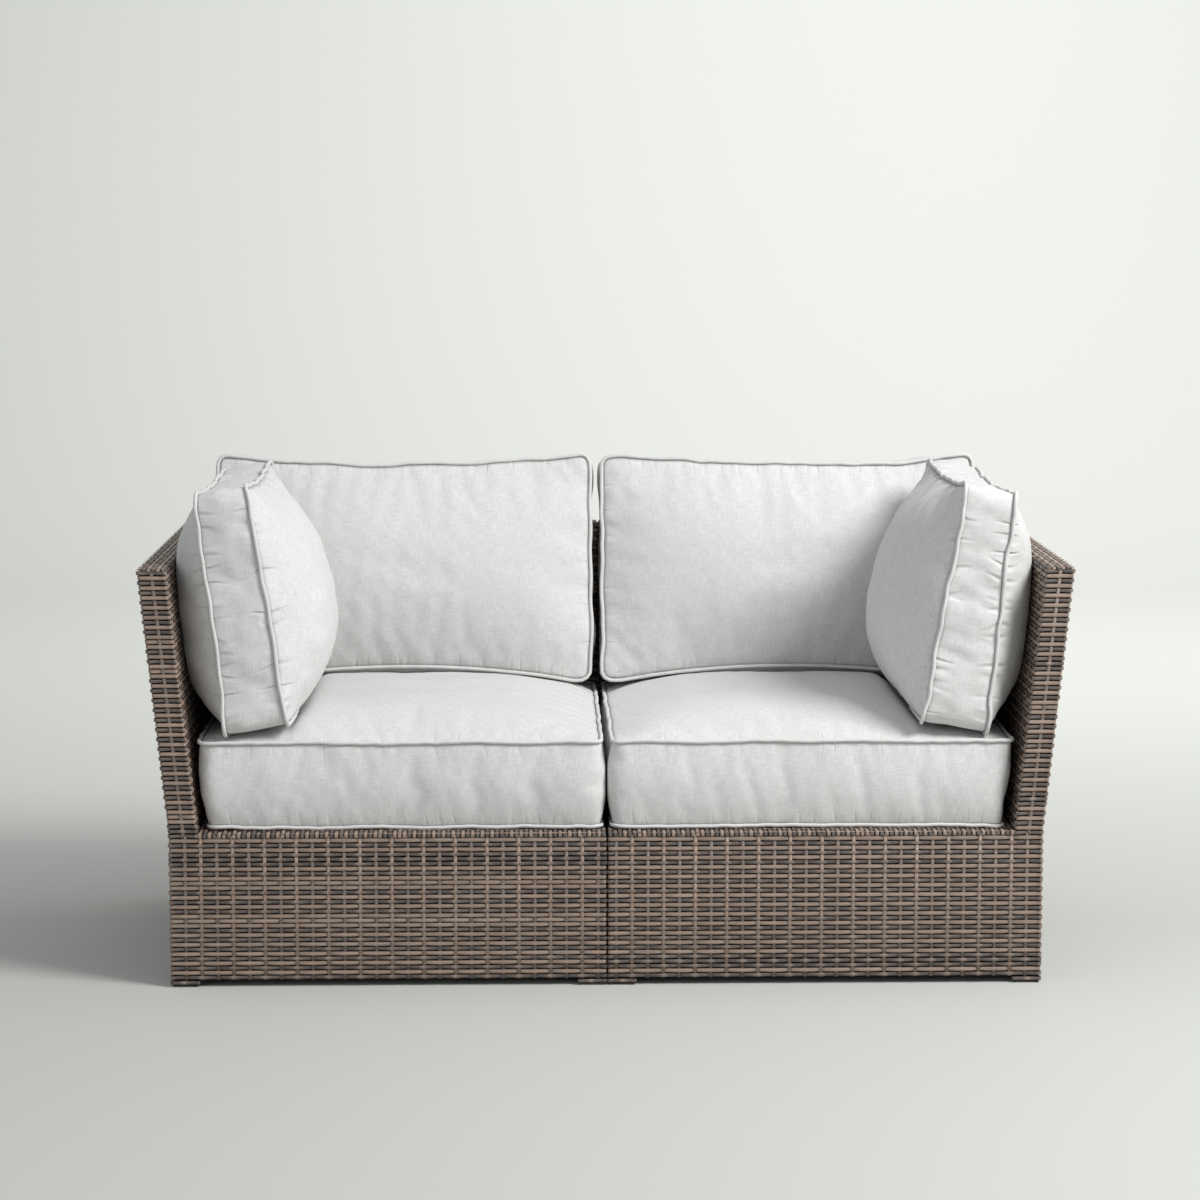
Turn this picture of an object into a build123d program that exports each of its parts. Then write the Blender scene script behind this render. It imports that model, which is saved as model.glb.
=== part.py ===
from build123d import *
from math import cos, radians, sin
import os

# A patio loveseat of two mirrored corner modules: woven wicker over welded tube, six loose cushions.
# X runs to the right of someone facing the seat, Y to its back and Z up, from the middle of its footprint.

# Base of one module
base_width = 770.0
base_depth = 770.0
module_gap = 3.0
deck_height = 276.0
skirt_clearance = 13.0
weave_thickness = 5.0
edge_radius = 6.0

# Leaning arm and back panels
arm_height = 746.0
panel_lean = 48.0
panel_thickness = 50.0

# Tube frame
leg_tube = 40.0
rail_tube = 20.0
top_rail_height = 40.0
tube_wall = 1.5
slat_width = 40.0
slat_count = 3
panel_post_count = 6

# Push-in foot glides
glide_height = 3.0
glide_flange = 45.0
glide_plug_height = 22.0
glide_clearance = 0.3

# Clips that hold the two modules together
clip_length = 46.0
clip_width = 30.0
clip_thickness = 2.5
clip_inset = 130.0
screw_diameter = 5.0
screw_head_diameter = 9.0
screw_head_height = 2.5
screw_length = 12.0
screw_clearance = 0.2

# What every cushion is made of
piping_radius = 3.5
piping_clearance = 0.2
cover_thickness = 3.0
foam_clearance = 0.3
rest_clearance = 0.3
corner_radius = 26.0
end_crown = 3.0
section_shares = (-1.0, -0.85, -0.5, 0.0, 0.5, 0.85, 1.0)

# Seat cushions
seat_front_setback = 32.0
seat_back_gap = 9.0
seat_middle_gap = 11.0
seat_arm_gap = 25.0
seat_thickness = 152.0
seat_crown = 22.0
seat_draw = 7.0
seat_roundness = 1.0

# Back cushions
back_cushion_reach = 167.8
back_cushion_rise = 28.5
back_cushion_height = 434.0
back_cushion_thickness = 100.0
back_cushion_lean = 9.0
back_cushion_middle_gap = 13.0
back_cushion_arm_gap = 10.0
back_front_crown = 50.0
back_rear_crown = 62.0
back_draw = 10.0
upright_roundness = 0.6

# Side cushions
side_front_setback = 30.0
side_back_gap = 21.0
side_cushion_height = 427.0
side_cushion_thickness = 90.0
side_cushion_lean = 9.7
side_cushion_reach = 78.0
side_cushion_rise = 15.6
side_inner_crown = 90.0
side_outer_crown = 74.0
side_draw = 9.0

# Zips
zip_tape_width = 24.0
zip_tape_thickness = 1.2
zip_teeth_width = 4.0
zip_teeth_height = 1.6
zip_length_share = 0.68
slider_length = 12.0
slider_width = 9.0
slider_height = 3.0
slider_clearance = 0.3
pull_length = 18.0
pull_width = 4.0
pull_thickness = 1.0

# One overrun serves all cuts, and edges closer than this are in one place
overrun = 5.0
same_place = 0.001

deck_underside = deck_height - weave_thickness
total_depth = base_depth + panel_lean
front = -total_depth / 2
rear = front + base_depth
inner_edge = module_gap / 2
outer_edge = inner_edge + base_width
lean_slope = panel_lean / (arm_height - deck_height)
lean_degrees = Vector(0, panel_lean, arm_height - deck_height).get_angle(Vector(0, 0, 1))


def lean_at(height):
    """How far an arm or back panel has moved outwards at a height."""
    return lean_slope * (height - deck_height)


# Where the upright cushions stand: height, and distance in front of or beside the panel they lean on
seat_low_seam = deck_height + piping_radius + rest_clearance
back_cushion_bottom = seat_low_seam + seat_thickness + back_cushion_rise
back_cushion_front = rear - panel_thickness + lean_at(back_cushion_bottom) - back_cushion_reach
side_cushion_bottom = seat_low_seam + seat_thickness + side_cushion_rise
side_cushion_outer = outer_edge - panel_thickness + lean_at(side_cushion_bottom) - side_cushion_reach
side_cushion_front = front + side_front_setback
side_cushion_length = back_cushion_front - side_back_gap - side_cushion_front


def write(builder, name):
    """Labels a finished piece and writes its file."""
    builder.part.label = name
    export_step(builder.part, f"parts/{name}.step")


def write_pair(builder, name):
    """Writes a piece of the right module, and its mirror image in the left module."""
    write(builder, f"right_{name}")
    with BuildPart() as mirrored:
        mirror(builder.part, about=Plane.YZ)
    write(mirrored, f"left_{name}")


def block(across, along, heights, mode=Mode.ADD):
    """An upright block between pairs of distances: outwards from the middle, front to back, and up."""
    size_x, size_y, size_z = across[1] - across[0], along[1] - along[0], heights[1] - heights[0]
    with Locations((sum(across) / 2, sum(along) / 2, sum(heights) / 2)):
        Box(size_x, size_y, size_z, mode=mode)


def leaning_block(across, along, heights, leans, mode=Mode.ADD):
    """A block with planar sides; leans says which of its inner, outer, front and back sides lean."""
    with BuildPart(mode=Mode.PRIVATE) as body:
        for height in heights:
            shift = lean_at(height)
            inner = across[0] + leans[0] * shift
            outer = across[1] + leans[1] * shift
            near = along[0] + leans[2] * shift
            far = along[1] + leans[3] * shift
            with BuildSketch(Plane.XY.offset(height)):
                with Locations(((inner + outer) / 2, (near + far) / 2)):
                    Rectangle(outer - inner, far - near)
        loft(ruled=True)
    add(body.part, mode=mode)


def shrink(span, amount):
    """A span drawn in at both ends."""
    return span[0] + amount, span[1] - amount


# Spans of one module's base: outwards from the middle plane, and front to back
across_base = (inner_edge, outer_edge)
along_base = (front, rear)
legs_across = (
    (inner_edge + weave_thickness, inner_edge + weave_thickness + leg_tube),
    (outer_edge - weave_thickness - leg_tube, outer_edge - weave_thickness),
)
legs_along = (
    (front + weave_thickness, front + weave_thickness + leg_tube),
    (rear - weave_thickness - leg_tube, rear - weave_thickness),
)
between_legs_across = (legs_across[0][1], legs_across[1][0])
between_legs_along = (legs_along[0][1], legs_along[1][0])
rails_across = (
    (legs_across[0][0], legs_across[0][0] + rail_tube),
    (legs_across[1][1] - rail_tube, legs_across[1][1]),
)
rails_along = (
    (legs_along[0][0], legs_along[0][0] + rail_tube),
    (legs_along[1][1] - rail_tube, legs_along[1][1]),
)
top_rail_span = (deck_underside - top_rail_height, deck_underside)
low_rail_span = (skirt_clearance, skirt_clearance + rail_tube)
screw_places = [
    (rails_across[0][0] + rail_tube / 2, along)
    for along in (front + clip_inset, rear - clip_inset)
]


def rails(inset, mode):
    """The four top rails and four low rails, or their bores when drawn in."""
    for heights in (top_rail_span, low_rail_span):
        for across in rails_across:
            block(shrink(across, inset), between_legs_along, shrink(heights, inset), mode)
        for along in rails_along:
            block(between_legs_across, shrink(along, inset), shrink(heights, inset), mode)


def make_base_frame():
    """Four square legs with top and low rails butted between them, all hollow."""
    with BuildPart() as base_frame:
        for across in legs_across:
            for along in legs_along:
                block(across, along, (glide_height, deck_underside))
        rails(0, Mode.ADD)
        for across in legs_across:
            for along in legs_along:
                bore_across, bore_along = shrink(across, tube_wall), shrink(along, tube_wall)
                block(bore_across, bore_along, (glide_height, deck_underside), Mode.SUBTRACT)
        rails(tube_wall, Mode.SUBTRACT)
        for across, along in screw_places:
            with BuildSketch(Plane.XY.offset(skirt_clearance)):
                with Locations((across, along)):
                    Circle(screw_diameter / 2 + screw_clearance)
            extrude(amount=tube_wall, mode=Mode.SUBTRACT)
    return base_frame


def make_seat_slats():
    """Flat tubes under the deck, butted between the front and back rails."""
    pitch = (between_legs_across[1] - between_legs_across[0]) / (slat_count + 1)
    along = (rails_along[0][1], rails_along[1][0])
    heights = (deck_underside - rail_tube, deck_underside)
    with BuildPart() as seat_slats:
        for number in range(slat_count):
            middle = between_legs_across[0] + pitch * (number + 1)
            across = (middle - slat_width / 2, middle + slat_width / 2)
            block(across, along, heights)
            block(shrink(across, tube_wall), along, shrink(heights, tube_wall), Mode.SUBTRACT)
    return seat_slats


def make_base_weave():
    """Four woven skirts and the wraps round the legs, which reach down to the glides."""
    skirt_heights = (skirt_clearance, deck_underside)
    with BuildPart() as base_weave:
        block(across_base, along_base, skirt_heights)
        across_inside = shrink(across_base, weave_thickness)
        along_inside = shrink(along_base, weave_thickness)
        block(across_inside, along_inside, skirt_heights, Mode.SUBTRACT)
        for across in legs_across:
            for along in legs_along:
                wrap_across = shrink(across, -weave_thickness)
                wrap_along = shrink(along, -weave_thickness)
                block(wrap_across, wrap_along, (glide_height, deck_underside))
        for across in legs_across:
            for along in legs_along:
                block(across, along, (glide_height, deck_underside), Mode.SUBTRACT)
        rails(0, Mode.SUBTRACT)
        at_ends = base_weave.edges().filter_by(Axis.Z).filter_by(
            lambda edge: min(abs(edge.center().Y - at) for at in along_base) < same_place
        )
        corners = at_ends.filter_by(
            lambda edge: min(abs(abs(edge.center().X) - at) for at in across_base) < same_place
        )
        fillet(corners, radius=edge_radius)
    return base_weave


def make_deck_weave():
    """The woven deck over the slats, in front of the back panel and beside the arm."""
    with BuildPart() as deck_weave:
        across = (inner_edge, outer_edge - panel_thickness)
        block(across, (front, rear - panel_thickness), (deck_underside, deck_height))
        front_edges = deck_weave.edges().filter_by(Axis.X).group_by(Axis.Y)[0]
        fillet(front_edges.group_by(Axis.Z)[-1], radius=weave_thickness / 2)
    return deck_weave


# Spans of the leaning panels at deck level, with which sides lean
panel_heights = (deck_height, arm_height)
arm_across = (outer_edge - panel_thickness, outer_edge)
arm_along = (front, rear)
arm_leans = (1, 1, 0, 1)
back_across = (inner_edge, outer_edge - panel_thickness)
back_along = (rear - panel_thickness, rear)
back_leans = (0, 1, 1, 1)
inside_heights = shrink(panel_heights, weave_thickness)
foot_heights = (deck_underside, deck_height + weave_thickness)
arm_posts = [legs_along[0], legs_along[1]]
back_inside = shrink(back_across, weave_thickness)
back_posts = [(back_inside[0], back_inside[0] + rail_tube), (back_inside[1] - rail_tube, back_inside[1])]


def panel_feet(posts_across, posts_along, mode):
    """The stubs that carry a panel's frame through the weave onto the base frame."""
    for across in posts_across:
        for along in posts_along:
            block(across, along, foot_heights, mode)


def make_arm_weave():
    """The woven envelope round the arm frame, closed on all sides but for the frame's feet."""
    with BuildPart() as arm_weave:
        block(arm_across, arm_along, (deck_underside, deck_height))
        leaning_block(arm_across, arm_along, panel_heights, arm_leans)
        top_edges = arm_weave.faces().sort_by(Axis.Z)[-1].edges()
        fillet(top_edges, radius=edge_radius)
        inside_across = shrink(arm_across, weave_thickness)
        inside_along = shrink(arm_along, weave_thickness)
        leaning_block(inside_across, inside_along, inside_heights, arm_leans, Mode.SUBTRACT)
        panel_feet([legs_across[1]], arm_posts, Mode.SUBTRACT)
    return arm_weave


def make_back_weave():
    """The woven envelope round the back frame, closed on all sides but for the frame's feet."""
    with BuildPart() as back_weave:
        block(back_across, back_along, (deck_underside, deck_height))
        leaning_block(back_across, back_along, panel_heights, back_leans)
        top_face = back_weave.faces().sort_by(Axis.Z)[-1]
        fillet(top_face.edges().filter_by(Axis.X), radius=edge_radius)
        inside_along = shrink(back_along, weave_thickness)
        leaning_block(back_inside, inside_along, inside_heights, back_leans, Mode.SUBTRACT)
        panel_feet(back_posts, [legs_along[1]], Mode.SUBTRACT)
    return back_weave


def make_arm_frame():
    """Leaning flat tubes inside the arm: bottom and top rails, end posts and more posts between."""
    across = legs_across[1]
    along = shrink(arm_along, weave_thickness)
    clear = (along[1] - along[0] - panel_post_count * rail_tube) / (panel_post_count - 1)
    window_heights = shrink(inside_heights, rail_tube)
    with BuildPart() as arm_frame:
        leaning_block(across, along, inside_heights, arm_leans)
        for number in range(panel_post_count - 1):
            start = along[0] + rail_tube + number * (clear + rail_tube)
            last_lean = 1 if number == panel_post_count - 2 else 0
            leans = (1, 1, 0, last_lean)
            leaning_block(across, (start, start + clear), window_heights, leans, Mode.SUBTRACT)
        panel_feet([across], arm_posts, Mode.ADD)
        for heights in ((inside_heights[0], window_heights[0]), (window_heights[1], inside_heights[1])):
            bore_across, bore_along = shrink(across, tube_wall), shrink(along, tube_wall)
            bore_heights = shrink(heights, tube_wall)
            leaning_block(bore_across, bore_along, bore_heights, arm_leans, Mode.SUBTRACT)
    return arm_frame


def make_back_frame():
    """Leaning flat tubes inside the back: bottom and top rails, end posts and more posts between."""
    across = back_inside
    along = legs_along[1]
    clear = (across[1] - across[0] - panel_post_count * rail_tube) / (panel_post_count - 1)
    window_heights = shrink(inside_heights, rail_tube)
    with BuildPart() as back_frame:
        leaning_block(across, along, inside_heights, back_leans)
        for number in range(panel_post_count - 1):
            start = across[0] + rail_tube + number * (clear + rail_tube)
            last_lean = 1 if number == panel_post_count - 2 else 0
            leans = (0, last_lean, 1, 1)
            leaning_block((start, start + clear), along, window_heights, leans, Mode.SUBTRACT)
        panel_feet(back_posts, [along], Mode.ADD)
        for heights in ((inside_heights[0], window_heights[0]), (window_heights[1], inside_heights[1])):
            bore_across, bore_along = shrink(across, tube_wall), shrink(along, tube_wall)
            bore_heights = shrink(heights, tube_wall)
            leaning_block(bore_across, bore_along, bore_heights, back_leans, Mode.SUBTRACT)
    return back_frame


def make_foot_glides():
    """Four plastic glides, each a flange under the leg with a plug inside it."""
    plug = leg_tube / 2 - tube_wall - glide_clearance
    with BuildPart() as foot_glides:
        for across in legs_across:
            for along in legs_along:
                middle_across, middle_along = sum(across) / 2, sum(along) / 2
                flange_across = (middle_across - glide_flange / 2, middle_across + glide_flange / 2)
                flange_along = (middle_along - glide_flange / 2, middle_along + glide_flange / 2)
                block(flange_across, flange_along, (0, glide_height))
                plug_across = (middle_across - plug, middle_across + plug)
                plug_along = (middle_along - plug, middle_along + plug)
                block(plug_across, plug_along, (glide_height, glide_height + glide_plug_height))
        low_edges = foot_glides.faces().group_by(Axis.Z)[0].edges()
        chamfer(low_edges, length=glide_height / 3)
    return foot_glides


def make_module_clips():
    """Two flat clips across the gap, under the low rails of both modules."""
    with BuildPart() as module_clips:
        with BuildSketch(Plane.XY.offset(skirt_clearance)):
            for across, along in screw_places:
                with Locations((0, along)):
                    RectangleRounded(clip_length, clip_width, clip_width / 4)
                with Locations((across, along), (-across, along)):
                    Circle(screw_diameter / 2 + screw_clearance, mode=Mode.SUBTRACT)
        extrude(amount=-clip_thickness)
    return module_clips


def make_clip_screws():
    """Pan-head screws up through the clips into the low rails."""
    clip_underside = skirt_clearance - clip_thickness
    places = [(turn * across, along) for across, along in screw_places for turn in (-1, 1)]
    with BuildPart() as clip_screws:
        with BuildSketch(Plane.XY.offset(clip_underside)):
            with Locations(*places):
                Circle(screw_head_diameter / 2)
        extrude(amount=-screw_head_height)
        chamfer(clip_screws.faces().group_by(Axis.Z)[0].edges(), length=screw_head_height / 3)
        with BuildSketch(Plane.XY.offset(clip_underside)):
            with Locations(*places):
                Circle(screw_diameter / 2)
        extrude(amount=screw_length)
    return clip_screws


class Cushion:
    """A boxed cushion: long along one axis, crowned along another and flat-sided along the third.

    Its frame has x along its length, y along its thickness and z along its width. The end at full
    length can lean by end_slope. crowns are those of the low and the high side along y. draw is how
    far the side at high z pulls in between its corners; the side at low z is straight and has the zip.
    pressed is the plane of a panel that flattens the side at high y.
    """

    def __init__(self, frame, length, thickness, width, crowns, draw, roundness, end_slope, pressed):
        self.frame = frame
        self.length = length
        self.thickness = thickness
        self.width = width
        self.crowns = crowns
        self.draw = draw
        self.roundness = roundness
        self.end_slope = end_slope
        self.pressed = pressed
        self.zip_length = length * zip_length_share
        self.zip_plane = Plane(
            origin=frame.from_local_coords((length / 2, 0, -width / 2)),
            x_dir=frame.x_dir,
            z_dir=-frame.z_dir,
        )

    def section_plane(self, share, inset):
        """The plane across the cushion at a share of its half length; it leans towards the far end."""
        along = self.length / 2 + share * (self.length / 2 - inset)
        tilt = self.end_slope * (share + 1) / 2
        x_dir, y_dir = self.frame.x_dir, self.frame.y_dir
        origin = self.frame.from_local_coords((along, 0, 0))
        return Plane(origin=origin, x_dir=y_dir + x_dir * tilt, z_dir=x_dir - y_dir * tilt)

    def is_corner(self, edge):
        """Whether an edge runs along the thickness where an end meets a straight side."""
        spot = self.frame.to_local_coords(edge.center())
        at_end = min(abs(spot.X), abs(spot.X - self.length)) < corner_radius / 2
        at_side = abs(abs(spot.Z) - self.width / 2) < corner_radius / 2
        return at_end and at_side

    def solid(self, inset):
        """The crowned body, drawn in by the inset on all sides."""
        half_thickness = self.thickness / 2 - inset
        half_width = self.width / 2 - inset
        with BuildPart() as body:
            for share in section_shares:
                fullness = (1 - share**2) ** self.roundness
                low = half_thickness + end_crown + (self.crowns[0] - end_crown) * fullness
                high = half_thickness + end_crown + (self.crowns[1] - end_crown) * fullness
                drawn = half_width - self.draw * (1 - share**2)
                middle = (drawn - half_width) / 2
                with BuildSketch(self.section_plane(share, inset)):
                    with BuildLine():
                        straight = (half_thickness, -half_width), (-half_thickness, -half_width)
                        sagging = (half_thickness, drawn), (-half_thickness, drawn)
                        Line(straight[1], straight[0])
                        ThreePointArc(straight[0], (high, middle), sagging[0])
                        Line(*sagging)
                        ThreePointArc(sagging[1], (-low, middle), straight[1])
                    make_face()
            loft()
            fillet(body.edges().filter_by(self.is_corner), radius=corner_radius - inset)
            if self.pressed:
                split(bisect_by=self.pressed.offset(-inset - rest_clearance), keep=Keep.BOTTOM)
        return body

    def seam_path(self, level):
        """The line of one row of piping, round the outside of its seam."""
        frame = self.frame
        offset = piping_radius + piping_clearance
        start, end = -offset, self.length + self.end_slope * level + offset
        half = self.width / 2 + offset
        origin = frame.from_local_coords((0, level, 0))
        with BuildLine(Plane(origin=origin, x_dir=frame.x_dir, z_dir=-frame.y_dir)) as loop:
            Line((start, -half), (end, -half))
            Line((end, -half), (end, half))
            ThreePointArc((end, half), ((start + end) / 2, half - self.draw), (start, half))
            Line((start, half), (start, -half))
            fillet(loop.vertices(), radius=corner_radius + offset)
        return loop.wires()[0]

    def make_piping(self):
        """The two rows of piping, one at each side of the boxing."""
        with BuildPart() as piping:
            for level in (-self.thickness / 2, self.thickness / 2):
                path = self.seam_path(level)
                with BuildSketch(Plane(origin=path @ 0, z_dir=path % 0)):
                    Circle(piping_radius)
                sweep(path=path)
        return piping

    def make_cover(self):
        """The sewn cover, hollow, with a recess for the zip."""
        with BuildPart() as cover:
            add(self.solid(0).part)
            add(self.solid(cover_thickness).part, mode=Mode.SUBTRACT)
            with BuildSketch(self.zip_plane.offset(-zip_tape_thickness)):
                Rectangle(self.zip_length, zip_tape_width)
            extrude(amount=zip_tape_thickness + overrun, mode=Mode.SUBTRACT)
        return cover

    def make_foam(self):
        """The foam block that fills the cover."""
        return self.solid(cover_thickness + foam_clearance)

    def make_zip(self):
        """The zip's tape, flush in the cover, with its row of teeth standing up."""
        with BuildPart() as zip_tape:
            with BuildSketch(self.zip_plane.offset(-zip_tape_thickness)):
                Rectangle(self.zip_length, zip_tape_width)
            extrude(amount=zip_tape_thickness)
            with BuildSketch(self.zip_plane):
                Rectangle(self.zip_length, zip_teeth_width)
            extrude(amount=zip_teeth_height)
        return zip_tape

    def make_slider(self):
        """The slider over the closed end of the teeth, with its pull lying along them."""
        start = -self.zip_length / 2
        with BuildPart() as slider:
            with BuildSketch(self.zip_plane.offset(slider_clearance)):
                with Locations((start + slider_length / 2, 0)):
                    Rectangle(slider_length, slider_width)
            extrude(amount=slider_height - slider_clearance)
            with BuildSketch(self.zip_plane.offset(slider_height - pull_thickness)):
                with Locations((start + slider_length + pull_length / 2, 0)):
                    Rectangle(pull_length, pull_width)
            extrude(amount=pull_thickness)
            with BuildSketch(self.zip_plane):
                with Locations((start + slider_length / 2, 0)):
                    Rectangle(slider_length, zip_teeth_width + 2 * slider_clearance)
            extrude(amount=zip_teeth_height + slider_clearance, mode=Mode.SUBTRACT)
        return slider

    def write_pieces(self, name):
        """Writes the cushion's five pieces in both modules."""
        write_pair(self.make_cover(), f"{name}_cover")
        write_pair(self.make_foam(), f"{name}_foam")
        write_pair(self.make_piping(), f"{name}_piping")
        write_pair(self.make_zip(), f"{name}_zip")
        write_pair(self.make_slider(), f"{name}_zip_slider")


# The inner faces of the leaning panels, each facing away from the seat
back_face = Plane(
    origin=(0, rear - panel_thickness, deck_height),
    x_dir=(1, 0, 0),
    z_dir=(0, cos(radians(lean_degrees)), -sin(radians(lean_degrees))),
)
arm_face = Plane(
    origin=(outer_edge - panel_thickness, 0, deck_height),
    x_dir=(0, 1, 0),
    z_dir=(cos(radians(lean_degrees)), 0, -sin(radians(lean_degrees))),
)


def make_seat_cushion():
    """A thick cushion that lies on the deck and leans with the arm at its outer end."""
    depth = base_depth - panel_thickness - seat_front_setback - seat_back_gap
    middle = seat_low_seam + seat_thickness / 2
    outer_end = outer_edge - panel_thickness + lean_at(middle) - seat_arm_gap
    frame = Plane(
        origin=(seat_middle_gap, front + seat_front_setback + depth / 2, middle),
        x_dir=(1, 0, 0),
        z_dir=(0, -1, 0),
    )
    return Cushion(
        frame, outer_end - seat_middle_gap, seat_thickness, depth, (end_crown, seat_crown),
        seat_draw, seat_roundness, lean_slope, None,
    )


def make_back_cushion():
    """A plump cushion that stands on the seat cushion and leans on the back panel."""
    up = Vector(0, sin(radians(back_cushion_lean)), cos(radians(back_cushion_lean)))
    backward = Vector(0, cos(radians(back_cushion_lean)), -sin(radians(back_cushion_lean)))
    foot = Vector(back_cushion_middle_gap, back_cushion_front, back_cushion_bottom)
    origin = foot + up * (back_cushion_height / 2) + backward * (back_cushion_thickness / 2)
    outer_end = outer_edge - panel_thickness + lean_at(back_cushion_bottom) - back_cushion_arm_gap
    return Cushion(
        Plane(origin=origin, x_dir=(1, 0, 0), z_dir=up), outer_end - back_cushion_middle_gap,
        back_cushion_thickness, back_cushion_height, (back_front_crown, back_rear_crown),
        back_draw, upright_roundness, 0, back_face,
    )


def make_side_cushion():
    """A plump cushion that stands on the seat cushion, along the arm, and leans on it."""
    up = Vector(sin(radians(side_cushion_lean)), 0, cos(radians(side_cushion_lean)))
    inward = Vector(-cos(radians(side_cushion_lean)), 0, sin(radians(side_cushion_lean)))
    foot = Vector(side_cushion_outer, side_cushion_front, side_cushion_bottom)
    origin = foot + up * (side_cushion_height / 2) + inward * (side_cushion_thickness / 2)
    return Cushion(
        Plane(origin=origin, x_dir=(0, 1, 0), z_dir=up), side_cushion_length,
        side_cushion_thickness, side_cushion_height, (side_outer_crown, side_inner_crown),
        side_draw, upright_roundness, 0, arm_face,
    )


os.makedirs("parts", exist_ok=True)

write_pair(make_base_frame(), "base_frame")
write_pair(make_seat_slats(), "seat_slats")
write_pair(make_base_weave(), "base_weave")
write_pair(make_deck_weave(), "deck_weave")
write_pair(make_arm_frame(), "arm_frame")
write_pair(make_arm_weave(), "arm_weave")
write_pair(make_back_frame(), "back_frame")
write_pair(make_back_weave(), "back_weave")
write_pair(make_foot_glides(), "foot_glides")
write(make_module_clips(), "module_clips")
write(make_clip_screws(), "clip_screws")
make_seat_cushion().write_pieces("seat")
make_back_cushion().write_pieces("back_cushion")
make_side_cushion().write_pieces("side_cushion")
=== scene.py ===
import math
from dataclasses import dataclass
from typing import NamedTuple

import bpy
import numpy as np
from bpy.props import FloatProperty, FloatVectorProperty, PointerProperty
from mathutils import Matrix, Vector


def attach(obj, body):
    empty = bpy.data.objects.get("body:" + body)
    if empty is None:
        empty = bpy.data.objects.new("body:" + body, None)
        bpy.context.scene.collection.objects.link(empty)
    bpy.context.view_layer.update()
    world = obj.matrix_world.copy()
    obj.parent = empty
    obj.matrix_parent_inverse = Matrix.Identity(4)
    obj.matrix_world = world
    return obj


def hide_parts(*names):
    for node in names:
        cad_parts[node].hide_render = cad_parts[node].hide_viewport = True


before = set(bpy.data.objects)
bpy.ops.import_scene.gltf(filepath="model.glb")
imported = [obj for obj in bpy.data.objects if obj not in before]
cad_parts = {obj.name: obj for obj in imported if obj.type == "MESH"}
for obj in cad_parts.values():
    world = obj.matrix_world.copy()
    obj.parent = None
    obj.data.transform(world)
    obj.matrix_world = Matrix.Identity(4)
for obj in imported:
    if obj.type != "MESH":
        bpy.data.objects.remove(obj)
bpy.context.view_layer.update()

bl_info = {
    "name": "Patio loveseat",
    "version": (1, 0, 0),
    "blender": (4, 5, 0),
    "location": "View3D > Sidebar > Loveseat",
    "description": "Wicker, cushions, finishes and stage of a patio loveseat made of two corner modules",
    "category": "Add Mesh",
}


# ---------------------------------------------------------------- sizes and colours

def length(name, description, default):
    """A length in metres."""
    return FloatProperty(name=name, description=description, default=default, subtype="DISTANCE", unit="LENGTH")


def share(name, description, default):
    """A plain number."""
    return FloatProperty(name=name, description=description, default=default)


def angle(name, description, default):
    """An angle, given in degrees."""
    return FloatProperty(name=name, description=description, default=math.radians(default), subtype="ANGLE")


def colour(name, description, default):
    """A linear colour."""
    return FloatVectorProperty(name=name, description=description, default=default, subtype="COLOR", size=3)


def place(name, description, default):
    """A point in metres."""
    return FloatVectorProperty(name=name, description=description, default=default, subtype="XYZ", unit="LENGTH")


class ModuleSizes(bpy.types.PropertyGroup):
    """One corner module, as the CAD has it."""

    half_gap: length("Half gap", "From the middle plane to a module's inner side", 0.0015)
    width: length("Width", "Width and depth of a module's base", 0.770)
    front: length("Front", "Place of the front face", -0.409)
    deck: length("Deck height", "Top of the woven deck", 0.276)
    arm: length("Arm height", "Top of the arms and backs", 0.746)
    lean: length("Lean", "How far the arms and backs lean out at their top", 0.048)
    panel: length("Panel thickness", "Thickness of the arms and backs", 0.050)
    skirt: length("Skirt clearance", "From the floor to the skirts", 0.013)
    glide: length("Glide height", "From the floor to the wraps of the legs", 0.003)
    weave: length("Weave thickness", "Thickness of the woven skin", 0.005)
    leg: length("Leg", "Size of a leg with its woven wrap", 0.050)
    fold: length("Fold", "How far the deck's strips turn down over the front edge", 0.0085)


class WickerSizes(bpy.types.PropertyGroup):
    """The woven strips and their colours."""

    stake_pitch: length("Stake pitch", "From one upright strip to the next", 0.028)
    row_pitch: length("Row pitch", "From one row to the next", 0.0086)
    strip_width: length("Strip width", "Width of a flat strip", 0.0074)
    strip_thickness: length("Strip thickness", "Thickness of a strip at its middle", 0.0012)
    wave: length("Wave", "How far a row bends out and in round the uprights", 0.0013)
    corner: length("Corner radius", "Radius of the woven corners", 0.006)
    knuckle: length("Knuckle", "How far the dark strips bulge as they turn a corner", 0.0024)
    tan: colour("Tan", "Colour of the light strips", (0.29, 0.211, 0.165))
    dark: colour("Dark", "Colour of the dark strips", (0.082, 0.068, 0.063))
    # painted shade: the near-black colour of the sheets behind the weave, where only shade would be
    core: colour("Shade sheet", "Colour of the unlit inside", (0.006, 0.0045, 0.004))


class FabricSizes(bpy.types.PropertyGroup):
    """The cushions' cloth, piping and filling."""

    cloth: colour("Cloth", "Colour of the cushions' cloth", (0.62, 0.62, 0.605))
    piping: length("Piping radius", "Radius of the piping", 0.0035)
    step: length("Grid step", "Size of the covers' faces before they are smoothed", 0.011)
    pressure: share("Pressure", "How hard the filling swells the cover", 3.0)
    cap: length("Swelling", "The furthest that the filling may push the cloth", 0.012)
    rest: length("Rest clearance", "Clearance where a cushion rests on something", 0.0003)


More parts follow.
